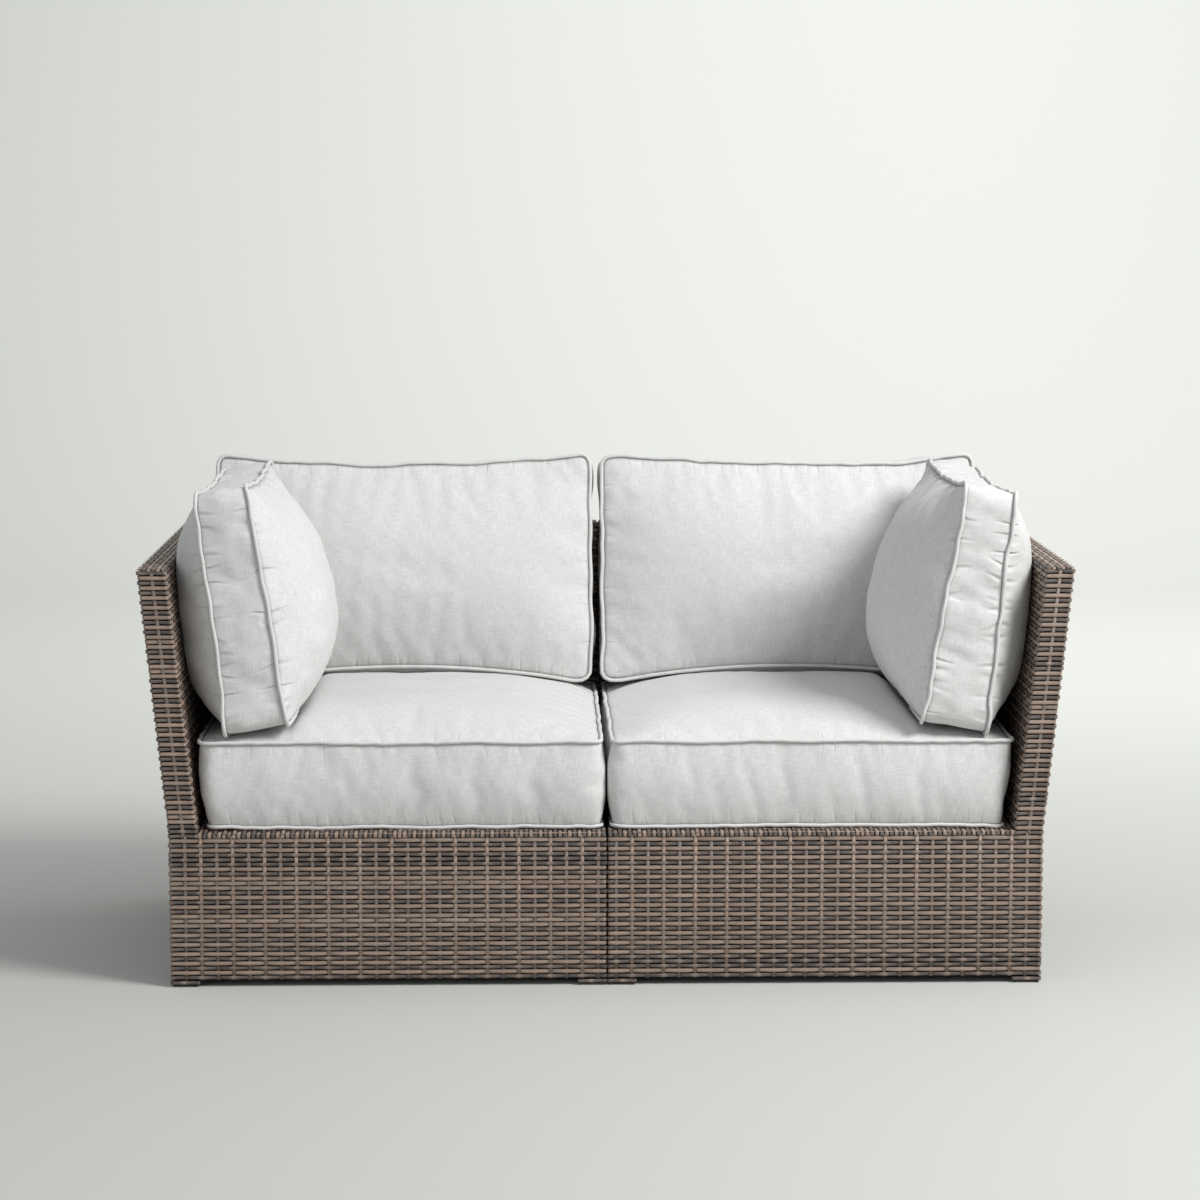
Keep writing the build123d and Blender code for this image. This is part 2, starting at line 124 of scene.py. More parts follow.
class SeatCushionSizes(bpy.types.PropertyGroup):
    """The two seat cushions."""

    inner: length("Inner end", "From the middle plane to the cushion", 0.011)
    front: length("Front", "Place of the front boxing", -0.377)
    rear: length("Rear", "Place of the rear boxing", 0.302)
    thickness: length("Thickness", "From the lower to the upper piping", 0.152)
    arm_gap: length("Arm gap", "Between the cushion and the arm", 0.019)
    crown: length("Crown", "How far the top bulges before it is filled", 0.038)
    draw: length("Draw", "How far the front pulls in between its corners", 0.007)
    corner: length("Corner radius", "Radius of the corners", 0.016)


class BackCushionSizes(bpy.types.PropertyGroup):
    """The two back cushions."""

    inner: length("Inner end", "From the middle plane to the cushion", 0.013)
    outer: length("Outer end", "From the middle plane to the far end", 0.7303)
    foot: length("Foot", "Place of the front lower seam", 0.162)
    bottom: length("Bottom", "Height of the front lower seam", 0.4603)
    height: length("Height", "Height along the lean", 0.434)
    thickness: length("Thickness", "Width of the boxing", 0.100)
    lean: angle("Lean", "Backward lean", 9.0)
    front_crown: length("Front crown", "How far the front bulges", 0.050)
    rear_crown: length("Rear crown", "How far the rear bulges", 0.062)
    draw: length("Draw", "How far the top sags between the corners", 0.020)
    corner: length("Corner radius", "Radius of the corners", 0.018)
    arch: length("Arch", "How far the seat lifts the front lower seam", 0.028)
    shift: length("Shift", "How far both cushions lie to the left", 0.006)


class SideCushionSizes(bpy.types.PropertyGroup):
    """The two side cushions."""

    front: length("Front", "Place of the front boxing", -0.379)
    length: length("Length", "Length along the arm", 0.520)
    foot: length("Foot", "From the middle plane to the outer lower seam", 0.661)
    bottom: length("Bottom", "Height of the outer lower seam", 0.4474)
    height: length("Height", "Height along the lean", 0.427)
    thickness: length("Thickness", "Width of the boxing", 0.090)
    lean: angle("Lean", "Outward lean", 9.7)
    outer_crown: length("Outer crown", "How far the outer face bulges", 0.074)
    inner_crown: length("Inner crown", "How far the inner face bulges", 0.081)
    draw: length("Draw", "How far the top sags between the corners", 0.012)
    splay: length("Splay", "How much wider the boxing is at the foot than at the top", 0.026)
    corner: length("Corner radius", "Radius of the corners", 0.015)
    arch: length("Arch", "How far the seat lifts the inner lower seam", 0.003)
    stand: length("Stand", "How far the top stands off the arm", 0.014)
    plump: length("Plump", "How much wider the filled boxing is than it was cut", 0.012)


class StageSizes(bpy.types.PropertyGroup):
    """Camera, lights and backdrop."""

    camera: place("Camera", "Place of the camera", (-0.1344, -5.856, 1.3977))
    turn: angle("Turn", "Turn of the camera to the right", 1.28)
    tilt: angle("Tilt", "Tilt of the camera downwards", 7.41)
    lens: share("Lens", "Focal length in millimetres", 94.4)
    floor: colour("Floor", "Colour of the floor and backdrop", (0.515, 0.523, 0.493))
    sky: colour("Sky", "Colour of the light all round", (0.93, 0.96, 1.0))
    sky_strength: share("Sky strength", "Strength of the light all round", 0.56)
    key: share("Key", "Power of the key light in watts", 245.0)
    fill: share("Fill", "Power of the fill light in watts", 12.0)
    wall: share("Wall", "Power of the light on the backdrop in watts", 480.0)


GROUPS = {
    "loveseat_module": ModuleSizes,
    "loveseat_wicker": WickerSizes,
    "loveseat_fabric": FabricSizes,
    "loveseat_seat": SeatCushionSizes,
    "loveseat_back": BackCushionSizes,
    "loveseat_side": SideCushionSizes,
    "loveseat_stage": StageSizes,
}


# ---------------------------------------------------------------- meshes

MIRROR = np.array([-1.0, 1.0, 1.0])  # turns the right module's points into the left one's


def outward(points, quads):
    """The quads, turned round if the closed shape that they make has a negative volume."""
    a, b, c, d = (points[quads[:, k]] for k in range(4))
    volume = np.einsum("ij,ij->i", a, np.cross(b, c)).sum() + np.einsum("ij,ij->i", a, np.cross(c, d)).sum()
    return quads if volume > 0 else quads[:, ::-1]


def for_side(side, points, quads):
    """Everything is worked out for the right module; for the left one it is turned round in X."""
    if side == "left":
        return points * MIRROR, quads[:, ::-1]
    return points, quads


def read_points(vertices):
    """The places of a mesh's vertices."""
    points = np.empty(len(vertices) * 3, np.float32)
    vertices.foreach_get("co", points)
    return points.reshape(-1, 3)


def write_points(mesh, points):
    """Moves a mesh's vertices to new places."""
    mesh.vertices.foreach_set("co", np.ascontiguousarray(points, np.float32).ravel())
    mesh.update()


def new_piece(name, points, quads, materials, body, replaced, uv, attributes=None, slots=None, smooth=True):
    """A mesh of quads at the origin, with a UV pair per corner and float or colour values per point. It rides
    on a body and stands for the CAD nodes that it replaces."""
    mesh = bpy.data.meshes.new(name)
    mesh.vertices.add(len(points))
    mesh.vertices.foreach_set("co", np.ascontiguousarray(points, np.float32).ravel())
    mesh.loops.add(quads.size)
    mesh.loops.foreach_set("vertex_index", np.ascontiguousarray(quads, np.int32).ravel())
    mesh.polygons.add(len(quads))
    mesh.polygons.foreach_set("loop_start", np.arange(0, quads.size, 4, dtype=np.int32))
    mesh.polygons.foreach_set("use_smooth", np.full(len(quads), smooth))
    if slots is not None:
        mesh.polygons.foreach_set("material_index", np.ascontiguousarray(slots, np.int32))
    mesh.uv_layers.new(name="UVMap").data.foreach_set("uv", np.ascontiguousarray(uv, np.float32).ravel())
    for label, values in (attributes or {}).items():
        kind, field = ("FLOAT", "value") if values.ndim == 1 else ("FLOAT_COLOR", "color")
        data = mesh.attributes.new(label, kind, "POINT").data
        data.foreach_set(field, np.ascontiguousarray(values, np.float32).ravel())
    mesh.update(calc_edges=True)
    mesh.validate()
    for material in materials:
        mesh.materials.append(bpy.data.materials[material])
    piece = bpy.data.objects.new(name, mesh)
    bpy.context.scene.collection.objects.link(piece)
    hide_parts(*replaced)
    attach(piece, body)
    return piece


def tube_quads(count, rings, sides, closed):
    """Quads round count tubes of rings rings with sides points each. A closed tube joins its last ring to
    its first; an open one of six sides gets two quads over each end."""
    ring = np.arange(rings if closed else rings - 1)[:, None]
    side = np.arange(sides)[None, :]
    here, ahead = ring * sides, (ring + 1) % rings * sides
    beside = (side + 1) % sides
    quads = np.stack([here + side, here + beside, ahead + beside, ahead + side], -1).reshape(-1, 4)
    if not closed:
        first_cap = np.array([[3, 2, 1, 0], [5, 4, 3, 0]])
        last_cap = np.array([[0, 1, 2, 3], [0, 3, 4, 5]]) + (rings - 1) * sides
        quads = np.concatenate([quads, first_cap, last_cap])
    start = (np.arange(count) * rings * sides)[:, None, None]
    return (quads[None] + start).reshape(-1, 4)


def joined(parts):
    """Several (points, quads, uv, values) as one."""
    starts = np.cumsum([0] + [len(part[0]) for part in parts[:-1]])
    quads = np.concatenate([part[1] + start for part, start in zip(parts, starts)])
    points, uv, values = (np.concatenate([part[k] for part in parts]) for k in (0, 2, 3))
    return points, quads, uv, values


def unit(vectors):
    """The vectors, each made one long."""
    return vectors / np.linalg.norm(vectors, axis=-1, keepdims=True)


# ---------------------------------------------------------------- weave

UP = (0.0, 0.0, 1.0)
PLAN_STEP = 0.004  # the finest division of a line in plan
LENS_WIDE = np.array([-1.0, -0.62, 0.62, 1.0, 0.45, -0.45])  # a strip's section, in halves of its width
LENS_HIGH = np.array([-0.25, 0.8, 0.8, -0.25, -0.9, -0.9])  # and in halves of its thickness
ROW_FILL = 0.93  # the most of the row pitch that a strip fills
ROW_SUNK = 0.55  # how far a row's middle lies under the skin, in thicknesses
ROW_WIDTHS = (1.03, 0.86)  # how wide light and dark rows are, in strip widths
FLIPPED = 0.07  # share of the rows whose tone is turned round
ROW_TONES = (0.86, 0.14)  # what being light gives to a row's tone, and what chance gives
STAKE_HALF_WIDTH = 0.46  # in strip widths
STAKE_HALF_THICKNESS = 0.6  # in thicknesses
STAKE_SUNK = 0.5  # how far a stake's middle lies under the rows, in thicknesses
SKIN_STAKES = (0.92, 0.30, 0.12)  # tones of even and odd stakes, and their crown, the share of the crown's painted highlight and wear that they get
FLAT_STAKES = (0.92, 0.42, 0.5)  # the same of a flat field
STAKE_REACH = (0.01, 0.5, 0.99)  # a flat field's stakes run so far over its width
BENDS = (-0.009, -0.006, -0.003, 0.0, 0.003, 0.006, 0.009)  # points on a row beside a corner
LIGHT_KNUCKLE = 0.25  # how far light rows bulge at a corner, in the dark ones' knuckles
SHADE_SHEET_DEPTHS = (0.90, 0.97)  # both sides of the painted shade sheet, in weave thicknesses
SHADE_LID_DEPTHS = (0.9, 0.07)  # how far the painted shade lid under a woven top lies in, and its wall
RIM_DROP = 0.004  # from the top of an arm or back down to its uppermost row
FOLD_RADIUS = 0.0025  # of a strip that turns down over an edge
FOLD_BENDS = (0.002, 0.004)  # points on a strip behind its fold
STAKE_CLEAR = 0.006  # from a turned-down end to the nearest stake of a flat field
RIM_FOLD = 0.003  # how far the strips on top of an arm or back turn down
RIM_ROWS = 6  # on top of an arm or back
RIM_SHOULDER = 0.0015  # how far the outermost of them lie lower
WEAVE_SEEDS = {"right": 11, "left": 23}
DECK_SEEDS = {"right": 31, "left": 47}


def strips(middles, across, out, half_width, half_thickness, along, tones, crowns):
    """Flat strips as one array: a six-point lens section, flatter at the back, carried along each row of
    middles. across and out are the section's directions at each point. Gives points, quads, UV (distance
    along and across, in metres) and colour values (tone, chance, crown)."""
    count, rings = middles.shape[:2]
    wide = LENS_WIDE * np.broadcast_to(half_width, (count,))[:, None]
    high = LENS_HIGH * half_thickness
    points = (
        middles[:, :, None, :]
        + across[:, :, None, :] * wide[:, None, :, None]
        + out[:, :, None, :] * high[None, None, :, None]
    ).reshape(-1, 3)
    shape = (count, rings, len(LENS_WIDE))
    quads = tube_quads(*shape, False)
    chance = np.random.default_rng(count * 7 + rings).random(count)

    def spread(values):
        return np.broadcast_to(values, shape)

    uv = np.stack([spread(along[:, :, None]), spread(wide[:, None, :])], -1).reshape(-1, 2)
    values = [spread(tones[:, None, None]), spread(chance[:, None, None]), spread(crowns[:, :, None]), np.ones(shape)]
    return points, outward(points, quads), uv, np.stack(values, -1).reshape(-1, 4)


def plan_line(corners, radius):
    """A line in plan through the corners, each inner one rounded: finely divided points, the outward
    direction (to the right of travel) at each and the distance along it."""
    corners = np.asarray(corners, float)
    pieces = [corners[:1]]
    for before, corner, after in zip(corners[:-2], corners[1:-1], corners[2:]):
        enter, leave = unit(before - corner), unit(after - corner)
        centre = corner + (enter + leave) * radius
        turn = np.linspace(0, math.pi / 2, 9)[:, None]
        pieces.append(centre - leave * radius * np.cos(turn) - enter * radius * np.sin(turn))
    pieces.append(corners[-1:])
    points = np.concatenate(pieces)
    distance = np.concatenate([[0], np.cumsum(np.linalg.norm(np.diff(points, axis=0), axis=1))])
    fine = np.unique(np.concatenate([distance, np.arange(0, distance[-1], PLAN_STEP)]))
    points = np.stack([np.interp(fine, distance, points[:, k]) for k in range(2)], -1)
    tangent = unit(np.gradient(points, fine, axis=0))
    return points, np.stack([tangent[:, 1], -tangent[:, 0]], -1), fine


def square_line(x0, y0, x1, y1):
    """A closed line round a square in plan, from the middle of its inner side to the front and round."""
    start = [x0, (y0 + y1) / 2]
    return [start, [x0, y0], [x1, y0], [x1, y1], [x0, y1], start]


def over_and_under(turns):
    """How far out a row lies, from 1 over a stake to -1 under the next: 1 - 2·((1 - cos)/2)³, flat over
    the stake and quick to dip beside it."""
    return 1 - 2 * ((1 - np.cos(math.pi * turns)) / 2) ** 3


def on_stake(turns):
    """How near a row's point is to the stake that it lies over: the cosine's positive half, eighth power."""
    return np.clip(np.cos(math.pi * turns), 0, 1) ** 8


def row_tones(numbers, seed):
    """Which rows are light (every other one, a few turned round) and each row's tone with some chance."""
    chance = np.random.default_rng(seed).random(len(numbers))
    light = np.where(chance < FLIPPED, 1 - numbers % 2, numbers % 2)
    return light, light * ROW_TONES[0] + ROW_TONES[1] * np.random.default_rng(seed + 1).random(len(numbers))


def row_half_width(wicker, pitch):
    """Half the width of a strip in a row, no wider than the pitch has room for."""
    return min(wicker.strip_width, pitch * ROW_FILL) / 2


class Skin:
    """A woven upright skin: a line in plan, shifted with height by how far each place leans."""

    def __init__(self, module, wicker, corners, leans, first_stake):
        self.module = module
        self.wicker = wicker
        self.points, self.out, self.distance = plan_line(corners, wicker.corner)
        self.leans = leans
        self.first_stake = first_stake
        gaps = [np.linalg.norm(self.points - np.asarray(corner, float), axis=1) for corner in corners[1:-1]]
        self.corners = [self.distance[np.argmin(gap)] for gap in gaps]

    def at(self, distance, height, depth):
        """Places at distances along the line and heights, sunk by a depth; and the outward directions."""
        plan = np.stack([np.interp(distance, self.distance, self.points[:, k]) for k in range(2)], -1)
        out = unit(np.stack([np.interp(distance, self.distance, self.out[:, k]) for k in range(2)], -1))
        module = self.module
        slope = module.lean / (module.arm - module.deck)
        shift = self.leans(plan) * np.maximum(height - module.deck, 0)[..., None] * slope
        plan = plan + shift - out * depth[..., None]
        return (
            np.concatenate([plan, np.broadcast_to(height, plan.shape[:-1])[..., None]], -1),
            np.concatenate([out, np.zeros(out.shape[:-1] + (1,))], -1),
        )

    def rows(self, low, high, seed, parity=0, light_knuckle=LIGHT_KNUCKLE):
        """The rows: each lies over every other stake and dips under the ones between, and the next row
        does the opposite. At a corner a row bulges by its knuckle times exp(-(distance / radius)²)."""
        wicker = self.wicker
        count = max(1, round((high - low) / wicker.row_pitch))
        pitch = (high - low) / count
        heights = low + pitch * (np.arange(count) + 0.5)
        total = self.distance[-1]
        bends = [corner + offset for corner in self.corners for offset in BENDS]
        phase = np.concatenate([np.arange(0, total, wicker.stake_pitch / 4), [total], bends])
        phase = np.unique(np.round(np.clip(phase, 0, total), 4))
        numbers = np.arange(count) + parity
        turns = (phase[None, :] - self.first_stake) / wicker.stake_pitch + numbers[:, None]
        light, tones = row_tones(numbers, seed)
        depth = wicker.wave * (1 - over_and_under(turns)) + wicker.strip_thickness * ROW_SUNK
        for corner in self.corners:
            near = np.exp(-(((phase[None, :] - corner) / wicker.corner) ** 2))
            depth = depth * (1 - near) - wicker.knuckle * near * np.where(light, light_knuckle, 1.0)[:, None]
        distance = np.broadcast_to(phase, depth.shape)
        height = np.broadcast_to(heights[:, None], depth.shape)
        middles, out = self.at(distance, height, depth)
        above, _ = self.at(distance, height + 0.001, depth)
        return strips(
            middles, unit(above - middles), out, np.where(light, *ROW_WIDTHS) * row_half_width(wicker, pitch),
            wicker.strip_thickness / 2, distance, tones, on_stake(turns),
        )

    def stakes(self, low, high):
        """The stakes: straight strips up the middle of the weave, alternately tan and grey."""
        wicker, deck = self.wicker, self.module.deck
        places = np.arange(self.first_stake % wicker.stake_pitch, self.distance[-1], wicker.stake_pitch)
        numbers = np.round((places - self.first_stake) / wicker.stake_pitch)
        heights = np.unique(np.clip([low, (low + deck) / 2, deck, (deck + high) / 2, high], low, high))
        distance = np.broadcast_to(places[:, None], (len(places), len(heights)))
        height = np.broadcast_to(heights, distance.shape)
        depth = np.full(distance.shape, wicker.wave + wicker.strip_thickness * STAKE_SUNK)
        middles, out = self.at(distance, height, depth)
        across = unit(np.cross(unit(np.gradient(middles, axis=1)), out))
        even, odd, crown = SKIN_STAKES
        return strips(
            middles, across, out, wicker.strip_width * STAKE_HALF_WIDTH, wicker.strip_thickness * STAKE_HALF_THICKNESS,
            height, np.where(numbers % 2 == 0, even, odd), np.full(distance.shape, crown),
        )

    def core(self, low, high):
        """Painted shade: a thin closed near-black sheet behind the weave that stands for the unlit inside. Its section
        goes up the outer side and down the inner one, and quads from side to side close both ends."""
        count = len(self.distance)
        heights = np.unique(np.clip([low, self.module.deck, high], low, high))
        distance = np.broadcast_to(self.distance[:, None], (count, len(heights)))
        height = np.broadcast_to(heights, distance.shape)
        near, far = (
            self.at(distance, height, np.full(distance.shape, self.module.weave * depth))[0] for depth in SHADE_SHEET_DEPTHS
        )
        ring = np.concatenate([near, far[:, ::-1]], axis=1)
        sides = ring.shape[1]
        points = ring.reshape(-1, 3)
        last = (count - 1) * sides
        k = np.arange(len(heights) - 1)
        cap = np.stack([k, k + 1, sides - 2 - k, sides - 1 - k], -1)
        quads = np.concatenate([tube_quads(1, count, sides, True)[:last], cap[:, ::-1], cap + last])
        return points, outward(points, quads), *unlit(len(points))

    def whole(self, seed, parity, light_knuckle=LIGHT_KNUCKLE):
        """Rows, stakes and the painted shade sheet from the deck's fold up to the top of an arm or back."""
        low, high = self.module.deck - self.module.fold, self.module.arm - RIM_DROP
        return [self.rows(low, high, seed, parity, light_knuckle), self.stakes(low, high), self.core(low, high)]


def unlit(count):
    """UV and values of the points of a painted shade sheet; a tone below 0 marks them."""
    return np.zeros((count, 2)), np.full((count, 4), -1.0)


def fold_length(ends):
    """What a strip's turned-down ends take of its length beyond the flat: each end, and a quarter round
    less its radius."""
    return sum(end + FOLD_RADIUS * (math.pi / 2 - 1) for end in ends if end)


def turned_down(distance, total, ends):
    """Travel and drop of a strip whose ends turn down: upright, then a quarter round, then flat."""
    travel, drop = distance, np.zeros_like(distance)
    for number, (end, left) in enumerate(zip(ends, (distance, total - distance))):
        if not end:
            continue
        turn = np.clip((left - end) / FOLD_RADIUS, 0, math.pi / 2)
        upright = np.maximum(end - left, 0)
        flat = np.maximum(left - end - FOLD_RADIUS * math.pi / 2, 0)
        reach = FOLD_RADIUS * (1 - np.cos(turn)) + flat
        drop = drop + FOLD_RADIUS * (1 - np.sin(turn)) + upright
        travel = np.where(left < total / 2, reach if number == 0 else total - fold_length(ends) - reach, travel)
    return travel, drop


def flat_weave(wicker, origin, along, across, size, count, seed, ends, parity=0, shoulder=0.0):
    """A flat woven field. Rows run along the first direction and lie side by side in the second; each
    lies over every other stake. Their ends may turn down over the edge, and the outermost rows may lie
    lower and tilt as a rounded shoulder."""
    origin, along, across, up = (np.asarray(v, float) for v in (origin, along, across, UP))
    pitch = size[1] / count
    total = size[0] + fold_length(ends)
    phase = [np.arange(0, total + 1e-6, wicker.stake_pitch / 4), [total]]
    for number, end in enumerate(ends):
        if end:
            bends = np.array([end * 0.5, end, *(end + bend for bend in FOLD_BENDS)])
            phase.append(total - bends if number else bends)
    phase = np.unique(np.concatenate(phase))
    numbers = np.arange(count)
    turns = phase[None, :] / wicker.stake_pitch - 0.5 + numbers[:, None] + parity
    travel, drop = turned_down(phase, total, ends)
    spine = origin + along * travel[:, None] - up * drop[:, None]
    out = unit(np.cross(across, np.gradient(spine, axis=0)))
    if out[len(out) // 2] @ up < 0:
        out = -out
    sunk = wicker.wave * (1 - over_and_under(turns)) + wicker.strip_thickness * ROW_SUNK
    lower = np.where((numbers == 0) | (numbers == count - 1), shoulder, 0.0)
    middles = (
        spine[None] + across * (pitch * (numbers[:, None, None] + 0.5))
        - out[None] * sunk[..., None] - up * lower[:, None, None]
    )
    tilt = lower / (pitch / 2) * np.where(numbers == 0, 1, -1)
    side = unit(across + up * tilt[:, None])[:, None]
    rows = strips(
        middles, np.broadcast_to(side, middles.shape), np.broadcast_to(out, middles.shape),
        row_half_width(wicker, pitch), wicker.strip_thickness / 2, np.broadcast_to(phase, sunk.shape),
        row_tones(numbers, seed)[1], on_stake(turns),
    )
    places = np.arange(wicker.stake_pitch / 2, total, wicker.stake_pitch)
    places = places[(places > ends[0] + STAKE_CLEAR) & (places < total - ends[1] - STAKE_CLEAR)]
    travel, _ = turned_down(places, total, ends)
    reach = np.array(STAKE_REACH) * size[1]
    spots = (
        origin + along * travel[:, None, None] + across * reach[None, :, None]
        - up * (wicker.wave + wicker.strip_thickness * STAKE_SUNK)
    )
    even, odd, crown = FLAT_STAKES
    stakes = strips(
        spots, np.broadcast_to(along, spots.shape), np.broadcast_to(up, spots.shape),
        wicker.strip_width * STAKE_HALF_WIDTH, wicker.strip_thickness * STAKE_HALF_THICKNESS,
        np.broadcast_to(reach, spots.shape[:2]), np.where(np.arange(len(places)) % 2 == 0, even, odd),
        np.full(spots.shape[:2], crown),
    )
    return [rows, stakes]


def shade_lid(module, across, along):
    """Painted shade: a thin closed near-black sheet under a woven top, drawn in by the weave's thickness."""
    drop, wall = (module.weave * depth for depth in SHADE_LID_DEPTHS)
    x = np.array(across) + np.array([1, -1]) * drop
    y = np.array(along) + np.array([1, -1]) * drop
    z = module.arm - drop - np.array([0, wall])
    ring = np.array([[x[0], z[0]], [x[1], z[0]], [x[1], z[1]], [x[0], z[1]]])
    points = np.array([[px, py, pz] for py in y for px, pz in ring])
    quads = np.array([[0, 1, 5, 4], [1, 2, 6, 5], [2, 3, 7, 6], [3, 0, 4, 7], [3, 2, 1, 0], [4, 5, 6, 7]])
    return points, outward(points, quads), *unlit(len(points))


def base_first_stake(module, wicker):
    """Where the first stake stands on the base's line, so that a grey one is in the middle of the arm's
    front face, half the panel's thickness from the outer front corner."""
    corner = module.width / 2 + module.width - 2 * wicker.corner * (2 - math.pi / 2)
    return (corner - module.panel / 2 + wicker.stake_pitch) % (2 * wicker.stake_pitch)


def wicker_piece(side, part, parts):
    """The woven parts as one piece in place of a module's part, the near-black sheets of painted shade on its second
    material.
    """
    points, quads, uv, values = joined(parts)
    points, quads = for_side(side, points, quads)
    inside = values[quads[:, 0], 0] < 0
    return new_piece(
        f"{side}_{part}_wicker", points, quads, ("Wicker strips", "Wicker core"), "root",
        [f"{side}_{part}_weave"], uv[quads.ravel()], {"Strip": np.clip(values, 0, 1)}, inside.astype(np.int32),
    )


# ---------------------------------------------------------------- node helpers

def node(tree, kind, inputs=None, **settings):
    """A node with its settings made and its inputs set to values or linked to sockets."""
    made = tree.nodes.new(f"ShaderNode{kind}")
    for key, value in settings.items():
        setattr(made, key, value)
    for key, value in (inputs or {}).items():
        if isinstance(value, bpy.types.NodeSocket):
            tree.links.new(value, made.inputs[key])
        else:
            made.inputs[key].default_value = value
    return made


def link(tree, outputs, target):
    """Links sockets to the named inputs of a shader or of a group's output."""
    for name, socket in outputs.items():
        tree.links.new(socket, target[name])


def maths(tree, operation, a, b=0.0, c=0.0):
    """One Math node; its output."""
    return node(tree, "Math", {0: a, 1: b, 2: c}, operation=operation).outputs[0]


def mixed(tree, factor, a, b, blend="MIX"):
    """One colour Mix node; its output."""
    return node(tree, "Mix", {0: factor, 6: a, 7: b}, data_type="RGBA", blend_type=blend).outputs[2]


def ranged(tree, value, low, high, start=0.0, end=1.0, kind="LINEAR"):
    """One Map Range node, from start at the low value to end at the high one; its output."""
    inputs = {"Value": value, "From Min": low, "From Max": high, "To Min": start, "To Max": end}
    return node(tree, "MapRange", inputs, interpolation_type=kind).outputs[0]


def vector(tree, x, y, z):
    """Three numbers as a vector."""
    return node(tree, "CombineXYZ", {0: x, 1: y, 2: z}).outputs[0]


def scaled(tree, value, factor):
    """A number or socket times a factor."""
    return maths(tree, "MULTIPLY", value, factor)


def noise(tree, where, detail, scale=1.0, roughness=0.5):
    """Noise at a vector; its value."""
    inputs = {"Vector": where, "Scale": scale, "Detail": detail, "Roughness": roughness}
    return node(tree, "TexNoise", inputs).outputs[0]


def darkened(tree, tone, light):
    """A colour times a grey of that lightness."""
    grey = node(tree, "CombineColor", {0: light, 1: light, 2: light}).outputs[0]
    return mixed(tree, 1.0, tone, grey, "MULTIPLY")


def bumped(tree, height, strength, distance, **below):
    """A Bump node, perhaps on top of another's Normal; its normal."""
    return node(tree, "Bump", {"Strength": strength, "Distance": distance, "Height": height, **below}).outputs[0]


def attribute(tree, name):
    """The outputs that read one of the mesh's attributes."""
    return node(tree, "Attribute", attribute_name=name).outputs


def on_object(tree):
    """The piece's own Object coordinates."""
    return node(tree, "TexCoord").outputs["Object"]


def on_surface(tree):
    """The piece's UV map, in metres along and across a strip or a sewn panel."""
    return node(tree, "UVMap", uv_map="UVMap").outputs[0]


def start_group(name, inputs, outputs):
    """A shader node group with named sockets: an input is a vector where its default is None, a colour
    where it is a tuple, or else a number. Gives its tree, its inputs by name and its output's sockets."""
    tree = bpy.data.node_groups.new(name, "ShaderNodeTree")
    kinds = {type(None): "Vector", tuple: "Color", float: "Float"}
    for label, default in inputs.items():
        kind = f"NodeSocket{kinds[type(default)]}"
        socket = tree.interface.new_socket(label, in_out="INPUT", socket_type=kind)
        if default is not None:
            socket.default_value = default
    for label, kind in outputs.items():
        tree.interface.new_socket(label, in_out="OUTPUT", socket_type=f"NodeSocket{kind}")
    return tree, tree.nodes.new("NodeGroupInput").outputs, tree.nodes.new("NodeGroupOutput").inputs


def make_grain_group():
    """Streaks along a strip or tube: noise drawn out along the first coordinate, fine and broad."""
    tree, given, result = start_group(
        "Grain", {"Vector": None, "Length": 0.02, "Width": 0.0008, "Shift": 0.0}, {"Fine": "Float", "Broad": "Float"},
    )
    parts = node(tree, "SeparateXYZ", {0: given["Vector"]}).outputs
    along = maths(tree, "DIVIDE", parts[0], given["Length"])
    across = maths(tree, "DIVIDE", parts[1], given["Width"])
    deep = maths(tree, "MULTIPLY_ADD", given["Shift"], 37.0, parts[2])
    fine = noise(tree, vector(tree, along, across, deep), 3.0, roughness=0.6)
    wide = vector(tree, along, scaled(tree, across, 0.2), maths(tree, "ADD", deep, 11.0))
    link(tree, {"Fine": fine, "Broad": noise(tree, wide, 1.0, 0.6)}, result)


def make_dust_group():
    """Dust and wear: patches of noise on the object's own coordinates that lighten a colour."""
    tree, given, result = start_group(
        "Dust",
        {"Vector": None, "Color": (0.5, 0.5, 0.5, 1), "Dust": (0.5, 0.47, 0.42, 1), "Amount": 0.2, "Scale": 9.0},
        {"Color": "Color", "Mask": "Float"},
    )
    mask = ranged(tree, noise(tree, given["Vector"], 5.0, given["Scale"], 0.62), 0.42, 0.72)
    dusty = mixed(tree, maths(tree, "MULTIPLY", mask, given["Amount"]), given["Color"], given["Dust"])
    link(tree, {"Color": dusty, "Mask": mask}, result)


def make_cloth_group():
    """Plain-woven heathered cloth: threads both ways as two waves, uneven yarns as drawn-out noise."""
    tree, given, result = start_group(
        "Cloth", {"Vector": None, "Color": (0.6, 0.6, 0.6, 1), "Thread": 0.0009, "Slub": 0.1},
        {"Color": "Color", "Height": "Float"},
    )
    parts = node(tree, "SeparateXYZ", {0: given["Vector"]}).outputs
    wave = maths(tree, "DIVIDE", math.pi, given["Thread"])
    warp, weft = (maths(tree, "SINE", maths(tree, "MULTIPLY", parts[k], wave)) for k in range(2))
    weave = maths(tree, "MULTIPLY", warp, weft)
    slubs = []
    for first, second, shift in ((55.0, 430.0, 0.0), (430.0, 55.0, 7.0)):
        where = vector(tree, scaled(tree, parts[0], first), scaled(tree, parts[1], second), shift)
        slubs.append(noise(tree, where, 2.0))
    slub = maths(tree, "SUBTRACT", maths(tree, "ADD", *slubs), 1.0)
    light = maths(tree, "MULTIPLY_ADD", slub, given["Slub"], 1.0)
    height = maths(tree, "MULTIPLY_ADD", weave, 0.35, scaled(tree, slub, 0.8))
    link(tree, {"Color": darkened(tree, given["Color"], light), "Height": height}, result)


# ---------------------------------------------------------------- finishes

